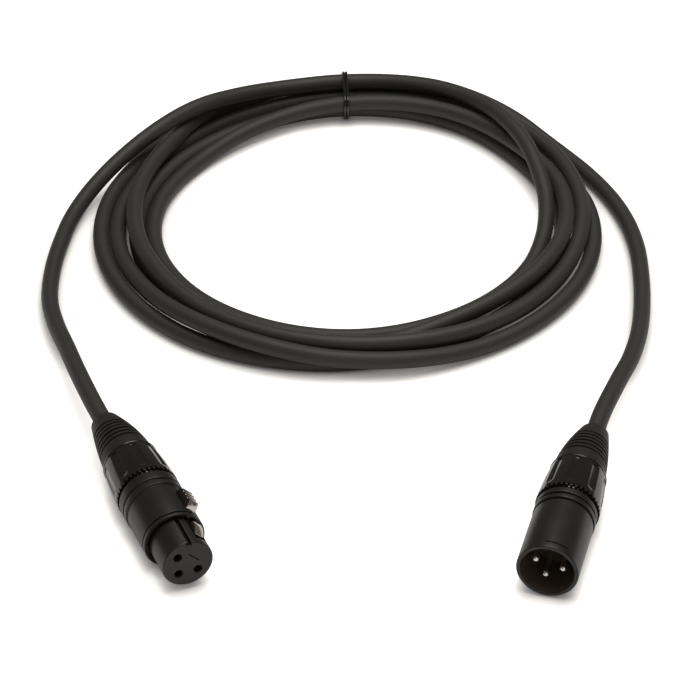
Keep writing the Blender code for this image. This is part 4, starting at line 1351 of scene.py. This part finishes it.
@dataclass
class Socket:
    """Female connector: shell, contact block and sprung latch.

    Stations run rearwards from the mating face.

    Attributes:
        axis: Where the connector lies.
        copies: The tree that repeats ridges, notches and panels.
        nut_at: Where the nut's solid starts.
        nose: Radius of the nose.
        bore: Radius of the shell's bore.
        nose_length: Length of the nose, up to the collar's lip.
        body: Radius of the body behind the lip.
        collar: Inner radius of the lip.
        gap_wall: Outer radius of the gap round the nose.
        gap_depth: How far that gap goes in from the lip's front.
        lip_step: Depth of the fine groove inside the lip.
        lip_groove: Start and end of the fine groove round the lip, from its front.
        lip_groove_depth: Depth of that groove.
        ring: Radius of the two raised rings.
        ring_groove: Middle of the first groove between them.
        ring_pitch: Distance between those grooves.
        neck: Outer radius of the neck inside the nut.
        neck_length: How far the neck reaches into the nut.
        keyway_roll: Where the keyway is round the nose.
        keyway_floor: Radius of its floor.
        keyway_half: Half its width.
        block_length: Length of the contact block.
        contact_ring: Radius of the circle that the contacts stand on.
        slit_at: Distance of the face's slit from the axis.
        slit_width: Width of the slit.
        slit_half: Half its length.
        channel_floor: Radius of the floor of the latch's channel.
        channel_half: Half the channel's width.
        channel_start: Where the channel starts.
        window_half: Half the width of the button's window.
        window: Start and end of that window.
        latch_roll: Where the latch is round the axis.
        latch_tip: Where the lever starts.
        latch_width: Width of the lever.
        latch_half: Half its thickness.
        hook_rise: Height of the hook above the lever.
        boss: Radius of the boss round the pin.
        button_at: Where the button starts.
        button_length: Length of the button.
        button_width: Width of the button.
        button_top: Radius of the tops of its ridges.
        ridge_height: Height of a ridge.
        ridges: How many ridges the button has.
        pivot_at: Station of the latch's pin.
        pivot_radius: Its distance from the axis.
        pivot_bore: Radius of the bore for the pin.
    """

    axis: ConnectorAxis
    copies: CopyRow
    nut_at: float = 34.8 * MM
    nose: float = 8.0 * MM
    bore: float = 6.6 * MM
    nose_length: float = 11.8 * MM
    body: float = 9.7 * MM
    collar: float = 9.05 * MM
    gap_wall: float = 8.6 * MM
    gap_depth: float = 1.7 * MM
    lip_step: float = 0.5 * MM
    lip_groove: tuple[float, float] = (1.3 * MM, 1.85 * MM)
    lip_groove_depth: float = 0.45 * MM
    ring: float = 10.0 * MM
    ring_groove: float = 27.6 * MM
    ring_pitch: float = 2.9 * MM
    neck: float = 8.2 * MM
    neck_length: float = 7.5 * MM
    keyway_roll: float = 5.0
    keyway_floor: float = 6.9 * MM
    keyway_half: float = 0.65 * MM
    block_length: float = 22.0 * MM
    contact_ring: float = 4.35 * MM
    slit_at: float = 2.5 * MM
    slit_width: float = 0.35 * MM
    slit_half: float = 2.3 * MM
    channel_floor: float = 5.2 * MM
    channel_half: float = 2.5 * MM
    channel_start: float = 2.4 * MM
    window_half: float = 2.3 * MM
    window: tuple[float, float] = (15.0 * MM, 24.5 * MM)
    latch_roll: float = 45.0
    latch_tip: float = 4.9 * MM
    latch_width: float = 3.6 * MM
    latch_half: float = 0.5 * MM
    hook_rise: float = 1.2 * MM
    boss: float = 1.3 * MM
    button_at: float = 15.6 * MM
    button_length: float = 8.6 * MM
    button_width: float = 3.9 * MM
    button_top: float = 12.0 * MM
    ridge_height: float = 0.5 * MM
    ridges: int = 4
    pivot_at: float = 26.0 * MM
    pivot_radius: float = 7.4 * MM
    pivot_bore: float = 0.9 * MM

    def shell(self) -> bpy.types.Object:
        """Make the satin shell with keyway, latch slot and button window.

        Returns:
            The shell.
        """
        lip, end = self.nose_length, self.nut_at - 0.3 * MM
        groove_start, groove_end = (lip + place for place in self.lip_groove)
        groove_floor = self.body - self.lip_groove_depth
        neck_end = self.nut_at + self.neck_length
        corners: list[Corner] = [
            (self.bore, 0.0, 0.02 * MM), (self.nose, 0.0, 0.5 * MM),
            (self.nose, lip + self.gap_depth, 0.1 * MM),
            (self.gap_wall, lip + self.gap_depth, 0.1 * MM),
            (self.gap_wall, lip + 0.1 * MM, 0.15 * MM),
            (self.collar - 0.20 * MM, lip + 0.1 * MM, 0.1 * MM),
            (self.collar - 0.15 * MM, lip + self.lip_step, 0.05 * MM),
            (self.collar, lip + self.lip_step, 0.05 * MM),
            (self.collar, lip, 0.15 * MM), (self.body, lip, 0.8 * MM),
            (self.body, groove_start, 0.3 * MM),
            (groove_floor, groove_start + 0.1 * MM, 0.05 * MM),
            (groove_floor, groove_end - 0.1 * MM, 0.05 * MM),
            (self.body, groove_end, 0.15 * MM),
            (self.body, self.ring_groove - 0.5 * MM, 0.15 * MM)]
        corners += ring_corners(self.ring_groove, self.ring_pitch, self.ring, end)
        corners += [(self.ring, end, 0.2 * MM), (self.neck, end, 0.0),
                    (self.neck, neck_end, 0.2 * MM), (self.bore, neck_end, 0.1 * MM)]
        shell = object_of(lathed("female_shell_casting", rounded(corners, 5), 128), SATIN)
        carve_block(shell, "keyway", (self.keyway_floor, -self.keyway_half, -1.0 * MM),
                    (9.0 * MM, self.keyway_half, lip - 0.02 * MM), 0.15 * MM, self.keyway_roll)
        self._channel(shell, 27.6 * MM)
        carve_block(shell, "button_window",
                    (self.channel_floor, -self.window_half, self.window[0]),
                    (13.0 * MM, self.window_half, self.window[1]), 0.4 * MM, self.latch_roll)
        drill(shell, "pivot_hole", cylinder(self.pivot_bore, 4.3 * MM),
              self._pivot() @ Matrix.Rotation(math.radians(90.0), 4, "X"), 24)
        # The keyway, the lip's groove and the rear gap take a painted shade.
        refinish(shell, PAINTED_RECESS_SHADE, self._shaded)
        soften(shell, 28.0)
        self.axis.lay(shell)
        present(shell, "cable", "black_satin", "female_shell")
        return shell

    def _shaded(self, face: bpy.types.MeshPolygon, out: float) -> bool:
        """Tell whether a face lies in the keyway, the lip's groove or the rear gap.

        Args:
            face: A face of the shell, which still lies about its own axis.
            out: Its distance from the axis.

        Returns:
            True where the face takes the painted shade.
        """
        at, middle, key = face.center.z, face.center, polar(1.0, self.keyway_roll)
        in_keyway = (self.keyway_floor - 0.05 * MM < out < self.nose - 0.06 * MM
                     and at < self.nose_length and middle.dot(key) > 0.0
                     and abs(middle.x * key.y - middle.y * key.x) < 0.9 * MM)
        in_groove = (self.body - 0.5 * MM < out < self.body - 0.12 * MM
                     and self.lip_groove[0] < at - self.nose_length < self.lip_groove[1])
        at_rear = out > self.neck - 0.1 * MM and at > self.nut_at - 0.31 * MM
        return in_keyway or in_groove or at_rear

    def _pivot(self) -> Matrix:
        """Return the latch's place: its pin along Y, its button along X."""
        at_pin = Matrix.Translation(polar(self.pivot_radius, self.latch_roll, self.pivot_at))
        return at_pin @ rolled(self.latch_roll)

    def _channel(self, piece: bpy.types.Object, end: float) -> None:
        """Cut the latch's channel into a piece.

        Args:
            piece: The shell or the contact block.
            end: Station where the channel ends.
        """
        carve_block(piece, "latch_channel",
                    (self.channel_floor, -self.channel_half, self.channel_start),
                    (9.0 * MM, self.channel_half, end), 0.2 * MM, self.latch_roll)

    def rolls(self) -> tuple[float, float, float]:
        """Return the rolls of the three holes: two beside the latch, one opposite."""
        return (self.latch_roll - 90.0, self.latch_roll + 90.0, self.latch_roll + 180.0)

    def face(self) -> bpy.types.Object:
        """Make the contact block with its three holes and fine slit.

        Returns:
            The contact block.
        """
        radius, past = self.bore - 0.03 * MM, self.block_length + 0.5 * MM
        corners = [(0.0, 0.0, 0.0), (radius, 0.0, 0.0), (radius, self.block_length, 0.2 * MM),
                   (0.0, self.block_length, 0.0)]
        face = object_of(lathed("female_contact_block", rounded(corners), 96), SOCKET_FACE)
        profile = [(0.0, -0.5 * MM), (2.05 * MM, -0.5 * MM), (1.35 * MM, 0.2 * MM),
                   (1.35 * MM, 1.5 * MM), (1.75 * MM, 1.5 * MM), (1.75 * MM, past), (0.0, past)]
        for roll in self.rolls():
            drill(face, "socket_hole", profile, Matrix.Translation(polar(self.contact_ring, roll)))
        self._channel(face, past)
        carve_block(face, "face_slit", (self.slit_at, -self.slit_half, -1.0 * MM),
                    (self.slit_at + self.slit_width, self.slit_half, 2.5 * MM), 0.0,
                    self.latch_roll)
        soften(face, 28.0)
        self.axis.lay(face)
        present(face, "cable", "insert_plastic", "female_insert")
        return face

    def latch(self) -> bpy.types.Object:
        """Make the chrome latch: hook in the nose, ridged button behind the collar.

        Returns:
            The latch.
        """
        latch = object_of(prism("female_latch_chrome", self._lever(), self.latch_width), CHROME)
        front, length = self.button_at - self.pivot_at, self.button_length
        top, pitch = self.button_top - self.pivot_radius, length / (self.ridges + 1)
        plate = top - self.ridge_height
        side = [(-0.25 * MM, front), (top - 2.0 * MM, front), (plate, front + pitch / 2),
                (plate, front + length - 0.9 * MM), (top - 1.0 * MM, front + length),
                (-0.25 * MM, front + length)]
        carve(latch, object_of(prism("button", side, self.button_width), None), union=True)
        start = front + pitch / 2
        stop = start + pitch - 0.25 * MM
        ridge = [(plate - 0.3 * MM, start), (plate, start), (top, start + pitch / 3),
                 (top, start + 2 * pitch / 3), (plate, stop), (plate - 0.3 * MM, stop)]
        carve(latch, self.copies.repeat(prism("button_ridges", ridge, self.button_width),
                                        self.ridges, CHROME, shift=pitch), union=True)
        drill(latch, "latch_bore", cylinder(self.pivot_bore, 4.0 * MM),
              Matrix.Rotation(math.radians(90.0), 4, "X"))
        round_edges(latch, 0.09 * MM, 40.0)
        # The lever's flat sides take a painted shade.
        refinish(latch, LATCH_SIDE_PAINTED_SHADE, lambda face, out: abs(face.normal.y) > 0.8)
        soften(latch, 40.0)
        latch.data.transform(self._pivot())
        self.axis.lay(latch)
        present(latch, "latch", "chrome", "female_latch")
        return latch

    def _lever(self) -> list[tuple[float, float]]:
        """Return the lever's outline about its pin, with the hook and the round boss.

        Returns:
            Points of radius and station.
        """
        half, boss, rise = self.latch_half, self.boss, self.hook_rise
        tip = self.latch_tip - self.pivot_at
        lever = [(-half, tip), (half - 0.2 * MM, tip), (half, tip + 0.2 * MM),
                 (half + rise * 0.6, tip + 1.4 * MM), (half + rise * 0.9, tip + 2.3 * MM),
                 (half + rise, tip + 2.9 * MM), (half + rise, tip + 4.6 * MM),
                 (half, tip + 5.2 * MM), (half, -boss)]
        steps, arc = 16, 280.0
        for step in range(steps + 1):
            swing = math.radians(arc * (step / steps - 0.5))
            lever.append((-boss * math.sin(swing), boss * math.cos(swing)))
        lever.append((-half, -boss))
        return lever

    def build(self) -> list[bpy.types.Object]:
        """Make every piece of the socket."""
        rear = RearEnd("female", self.axis, self.nut_at, self.copies)
        return [self.shell(), self.face(), self.latch(), *rear.build()]


@dataclass
class Plug:
    """Male connector: shell with an open mouth, contact block and three pins.

    Stations run rearwards from the mating face.

    Attributes:
        axis: Where the connector lies.
        copies: The tree that repeats the nut's notches and panels.
        nut_at: Where the nut's solid starts.
        tube: Outer radius of the tube.
        bore: Radius of the mouth.
        depth: Depth of the mouth, down to the contact block.
        ring: Radius of the two raised rings.
        ring_groove: Middle of the first groove between them.
        ring_pitch: Distance between those grooves.
        neck: Outer radius of the neck inside the nut.
        neck_length: How far the neck reaches into the nut.
        rear_bore: Radius of the bore behind the mouth.
        block_seat: Where that bore starts.
        roll: Where the latch's catch is round the axis.
        rib_roll: Where the key rib is.
        arc_reach: Degrees that the arc line runs to each side of the catch.
        arc_line: Start and end of the arc line's width.
        arc_depth: Depth of the arc line.
        block_end: Where the contact block ends.
        contact_ring: Radius of the circle that the pins stand on.
        pin: Radius of a pin.
        pin_recess: How far the pins' tips stay behind the rim.
        pin_end: Where the pins end.
    """

    axis: ConnectorAxis
    copies: CopyRow
    nut_at: float = 29.2 * MM
    tube: float = 9.5 * MM
    bore: float = 8.2 * MM
    depth: float = 14.6 * MM
    ring: float = 9.75 * MM
    ring_groove: float = 23.7 * MM
    ring_pitch: float = 2.6 * MM
    neck: float = 8.2 * MM
    neck_length: float = 7.5 * MM
    rear_bore: float = 6.6 * MM
    block_seat: float = 18.7 * MM
    roll: float = 13.0
    rib_roll: float = 53.0
    arc_reach: float = 21.5
    arc_line: tuple[float, float] = (2.15 * MM, 2.8 * MM)
    arc_depth: float = 0.3 * MM
    block_end: float = 21.0 * MM
    contact_ring: float = 4.35 * MM
    pin: float = 1.2 * MM
    pin_recess: float = 2.8 * MM
    pin_end: float = 22.0 * MM

    def shell(self) -> bpy.types.Object:
        """Make the satin tube with its rim, key rib, latch catch and rings.

        Returns:
            The shell.
        """
        end, neck_end = self.nut_at - 0.3 * MM, self.nut_at + self.neck_length
        corners: list[Corner] = [
            (self.bore, 0.0, 0.35 * MM), (self.tube, 0.0, 0.45 * MM),
            (self.tube, self.ring_groove - 0.5 * MM, 0.15 * MM)]
        corners += ring_corners(self.ring_groove, self.ring_pitch, self.ring, end)
        corners += [(self.ring, end, 0.2 * MM), (self.neck, end, 0.0),
                    (self.neck, neck_end, 0.2 * MM), (self.rear_bore, neck_end, 0.1 * MM),
                    (self.rear_bore, self.block_seat, 0.0), (self.bore, self.block_seat, 0.0)]
        shell = object_of(lathed("male_shell_casting", rounded(corners, 5), 128), SATIN)
        carve_block(shell, "key_rib", (7.5 * MM, -0.8 * MM, 3.0 * MM),
                    (8.6 * MM, 0.8 * MM, 14.3 * MM), 0.2 * MM, self.rib_roll, union=True)
        carve_block(shell, "latch_catch", (7.3 * MM, -2.6 * MM, 5.4 * MM),
                    (9.1 * MM, 2.6 * MM, 10.2 * MM), 0.2 * MM, self.roll)
        carve(shell, self._arc_tool())
        # The mouth's inner wall takes that painted light instead of the black satin.
        refinish(shell, MOUTH_PAINTED_LIGHT, lambda face, out: (
            out < self.bore + 0.05 * MM and 0.4 * MM < face.center.z < self.depth))
        # The ring grooves, the arc line and the rear gap take a painted shade.
        refinish(shell, PAINTED_RECESS_SHADE, self._shaded)
        soften(shell, 28.0)
        self.axis.lay(shell)
        present(shell, "cable", "black_satin", "male_shell")
        return shell

    def _shaded(self, face: bpy.types.MeshPolygon, out: float) -> bool:
        """Tell whether a face lies in a ring's groove, the arc line or the rear gap.

        Args:
            face: A face of the shell, which still lies about its own axis.
            out: Its distance from the axis.

        Returns:
            True where the face takes the painted shade.
        """
        at, grooves = face.center.z, (self.ring_groove, self.ring_groove + self.ring_pitch)
        in_groove = (self.ring - 0.75 * MM < out < self.ring - 0.25 * MM
                     and any(abs(at - groove) < 0.4 * MM for groove in grooves))
        in_arc = (self.tube - 0.4 * MM < out < self.tube - 0.06 * MM
                  and self.arc_line[0] - 0.05 * MM < at < self.arc_line[1])
        at_rear = out > self.neck - 0.1 * MM and at > self.nut_at - 0.31 * MM
        return in_groove or in_arc or at_rear

    def _arc_tool(self) -> bpy.types.Object:
        """Return the tool for the fine arc line near the rim.

        Returns:
            The tool, wider outside the tube than at the line's floor.
        """
        bm = bmesh.new()
        (start, end), depth, slope, steps = self.arc_line, self.arc_depth, 0.15 * MM, 24
        corners = ((-depth, start + slope), (depth, start), (depth, end), (-depth, end - slope))
        first, last = self.roll - self.arc_reach, self.roll + self.arc_reach
        rings = []
        for step in range(steps + 1):
            roll = first + (last - first) * step / steps
            rings.append([bm.verts.new(polar(self.tube + out, roll, at)) for out, at in corners])
        skin(bm, rings)
        return object_of(mesh_of("arc_line", bm), None)

    def rolls(self) -> tuple[float, float, float]:
        """Return the rolls of the pins: two beside the catch, one opposite."""
        return (self.roll + 90.0, self.roll - 90.0, self.roll + 180.0)

    def face(self) -> bpy.types.Object:
        """Make the contact block at the bottom of the mouth.

        Returns:
            The contact block.
        """
        radius, narrow = self.bore - 0.1 * MM, self.rear_bore - 0.3 * MM
        step, past = self.depth + 3.8 * MM, self.block_end + 0.5 * MM
        corners = [(0.0, self.depth, 0.0), (radius, self.depth, 0.2 * MM), (radius, step, 0.0),
                   (narrow, step, 0.0), (narrow, self.block_end, 0.2 * MM),
                   (0.0, self.block_end, 0.0)]
        # The contact block is brown and carries painted light.
        face = object_of(lathed("male_contact_block", rounded(corners), 96), PLUG_FACE_PAINTED_LIGHT)
        profile = [(0.0, self.depth - 0.5 * MM), (1.9 * MM, self.depth - 0.5 * MM),
                   (self.pin + 0.12 * MM, self.depth + 0.25 * MM),
                   (self.pin + 0.12 * MM, past), (0.0, past)]
        for roll in self.rolls():
            drill(face, "pin_hole", profile, Matrix.Translation(polar(self.contact_ring, roll)))
        soften(face, 28.0)
        self.axis.lay(face)
        present(face, "cable", "insert_plastic", "male_insert")
        return face

    def pins(self) -> list[bpy.types.Object]:
        """Make the three pins with their domed tips and the bores for the cores.

        Returns:
            The pins, in the order of their rolls.
        """
        end, bore_floor = self.pin_end - self.pin_recess, self.pin_end - self.pin_recess - 2.0 * MM
        quarter, facets = math.pi / 2, 8
        outline = [(self.pin * math.sin(quarter * step / facets),
                    self.pin * (1 - math.cos(quarter * step / facets)))
                   for step in range(facets + 1)]
        outline += [(self.pin, end), (self.pin / 2, end), (self.pin / 2, bore_floor),
                    (0.0, bore_floor)]
        made = []
        for number, roll in enumerate(self.rolls()):
            pin = object_of(lathed(f"male_contact_pin_{number + 1}", outline, 32), PLATING)
            pin.data.transform(Matrix.Translation(polar(self.contact_ring, roll,
                                                        self.pin_recess)))
            soften(pin, 40.0)
            self.axis.lay(pin)
            present(pin, "cable", "silver", f"male_pin_{number + 1}")
            made.append(pin)
        return made

    def build(self) -> list[bpy.types.Object]:
        """Make every piece of the plug."""
        rear = RearEnd("male", self.axis, self.nut_at, self.copies)
        return [self.shell(), self.face(), *self.pins(), *rear.build()]


# --- Nodes that stay as they are --------------------------------------------
INNER_FINISHES: dict[str, Finish] = {
    "jacket": CUT_JACKET, "chuck": CLAMP, "contact": PLATING, "latch_pin": PLATING,
    "latch_spring": PLATING, "core_1": SCREEN, "core_2": RED_CORE, "core_3": WHITE_CORE,
}


def dress_inner_nodes(nodes: dict[str, bpy.types.Object]) -> None:
    """Give the hidden inner nodes their finishes.

    Args:
        nodes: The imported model's nodes by name.
    """
    for name, node in nodes.items():
        for part, finish in INNER_FINISHES.items():
            if part in name and not node.hide_render:
                node.data.materials.clear()
                node.data.materials.append(finish.material())


# --- Camera, light and floor --------------------------------------------------
@dataclass(frozen=True)
class Lamp:
    """Square soft light that faces the part's origin.

    Attributes:
        name: The light's name.
        place: Where it is.
        size: Side of the square.
        power: Its power in watts.
        tint: Its colour.
    """

    name: str
    place: Corner
    size: float
    power: float
    tint: Colour

    def hang(self) -> None:
        """Put the light in the scene."""
        data = bpy.data.lights.new(self.name, "AREA")
        data.shape = "SQUARE"
        data.size = self.size
        data.energy = self.power
        data.color = self.tint
        lamp = bpy.data.objects.new(self.name, data)
        lamp.location = self.place
        lamp.rotation_euler = (-Vector(self.place)).to_track_quat("-Z", "Y").to_euler()
        bpy.context.scene.collection.objects.link(lamp)


LAMPS = (Lamp("overhead", (0.12, 0.13, 1.1), 0.9, 8.9, (1.0, 0.97, 0.92)),
         Lamp("front", (0.15, -1.15, 0.55), 0.7, 1.3, (1.0, 0.965, 0.91)))


@dataclass
class Studio:
    """White table, soft lights and the camera of the photograph.

    Attributes:
        focal: The lens in millimetres.
        sensor: Width of the camera's sensor in millimetres.
        near: Nearest distance that the camera sees.
        camera_from: Where the camera is.
        looks_at: What it looks at.
        ambient: Strength of the world's light.
        ambient_tint: Its colour.
        table_half: Half the table's width.
        table_colour: Colour of the table.
        table_glow: Colour of the glow that lifts it to the photograph's white.
        table_lift: Strength of that glow as the camera sees it.
        mirror_share: How much of it glossy pieces mirror.
        painted_shadow_reach: How close to a piece the glow fades out, which paints a shadow round
            it.
        painted_shadow_fall: How steeply the glow fades into that painted shadow.
        painted_shadow_samples: Rays that look for a piece nearby.
    """

    focal: float = 126.37
    sensor: float = 36.0
    near: float = 0.01
    camera_from: Vector = field(default_factory=lambda: Vector((0.0, -0.6755, 0.4730)) - ORIGIN)
    looks_at: Vector = field(default_factory=lambda: -ORIGIN)
    ambient: float = 0.13
    ambient_tint: Colour = (1.0, 0.98, 0.95)
    table_half: float = 3.0
    table_colour: Colour = (0.94, 0.935, 0.93)
    table_glow: Colour = (1.0, 0.975, 0.94)
    table_lift: float = 0.72
    mirror_share: float = 0.17
    painted_shadow_reach: float = 5.0 * MM
    painted_shadow_fall: float = 2.0
    painted_shadow_samples: int = 4

    def camera(self) -> None:
        """Set the camera at the photograph's angle."""
        data = bpy.data.cameras.new("camera")
        data.lens = self.focal
        data.sensor_width = self.sensor
        data.clip_start = self.near
        camera = bpy.data.objects.new("camera", data)
        camera.location = self.camera_from
        aim = self.looks_at - self.camera_from
        camera.rotation_euler = aim.to_track_quat("-Z", "Y").to_euler()
        bpy.context.scene.collection.objects.link(camera)
        bpy.context.scene.camera = camera

    def lights(self) -> None:
        """Set the lamps and the world's light."""
        for lamp in LAMPS:
            lamp.hang()
        world = bpy.data.worlds.new("studio")
        world.use_nodes = True
        back = world.node_tree.nodes["Background"]
        back.inputs["Color"].default_value = (*self.ambient_tint, 1.0)
        back.inputs["Strength"].default_value = self.ambient
        bpy.context.scene.world = world

    def paint(self) -> bpy.types.Material:
        """Make the table's matt white, which glows where nothing is near and fades near pieces into
        a painted shadow.

        Returns:
            The material.
        """
        paint = bpy.data.materials.new("table_white")
        paint.use_nodes = True
        tree = paint.node_tree
        shader = tree.nodes["Principled BSDF"]
        shader.inputs["Base Color"].default_value = (*self.table_colour, 1.0)
        shader.inputs["Roughness"].default_value = 0.7
        shader.inputs["Specular IOR Level"].default_value = 0.1
        shader.inputs["Emission Color"].default_value = (*self.table_glow, 1.0)
        ray = tree.nodes.new("ShaderNodeLightPath").outputs
        seen = worked_out(tree, "MULTIPLY_ADD", ray["Is Glossy Ray"], self.mirror_share,
                          ray["Is Camera Ray"])
        lift = worked_out(tree, "MULTIPLY", seen, self.table_lift)
        # Painted shadow: ambient occlusion fades the glow where a piece is close by.
        painted_shadow_probe = tree.nodes.new("ShaderNodeAmbientOcclusion")
        painted_shadow_probe.samples = self.painted_shadow_samples
        painted_shadow_probe.inputs["Distance"].default_value = self.painted_shadow_reach
        outside_painted_shadow = worked_out(tree, "POWER", painted_shadow_probe.outputs["AO"], self.painted_shadow_fall)
        glow = worked_out(tree, "MULTIPLY", lift, outside_painted_shadow)
        tree.links.new(glow, shader.inputs["Emission Strength"])
        return paint

    def floor(self) -> None:
        """Lay the white table."""
        bm = bmesh.new()
        bmesh.ops.create_grid(bm, x_segments=1, y_segments=1, size=self.table_half)
        mesh = bpy.data.meshes.new("table")
        bm.to_mesh(mesh)
        bm.free()
        mesh.materials.append(self.paint())
        table = bpy.data.objects.new("table", mesh)
        bpy.context.scene.collection.objects.link(table)

    def build(self) -> None:
        """Set up the whole studio."""
        self.camera()
        self.lights()
        self.floor()
        bpy.context.scene.view_settings.view_transform = "Standard"


def main() -> None:
    """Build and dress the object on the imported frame."""
    logging.basicConfig(level=logging.INFO, format="%(name)s: %(message)s")
    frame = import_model()
    Studio().build()
    run = CableRun()
    jacket = run.build(FEMALE_AXIS, MALE_AXIS)
    tie = CoilTie().build(run)
    copies = CopyRow()
    Socket(FEMALE_AXIS, copies).build()
    far_pieces = Plug(MALE_AXIS, copies).build()
    run.declare()
    dress_inner_nodes(frame["nodes"])


if __name__ == "__main__":
    main()
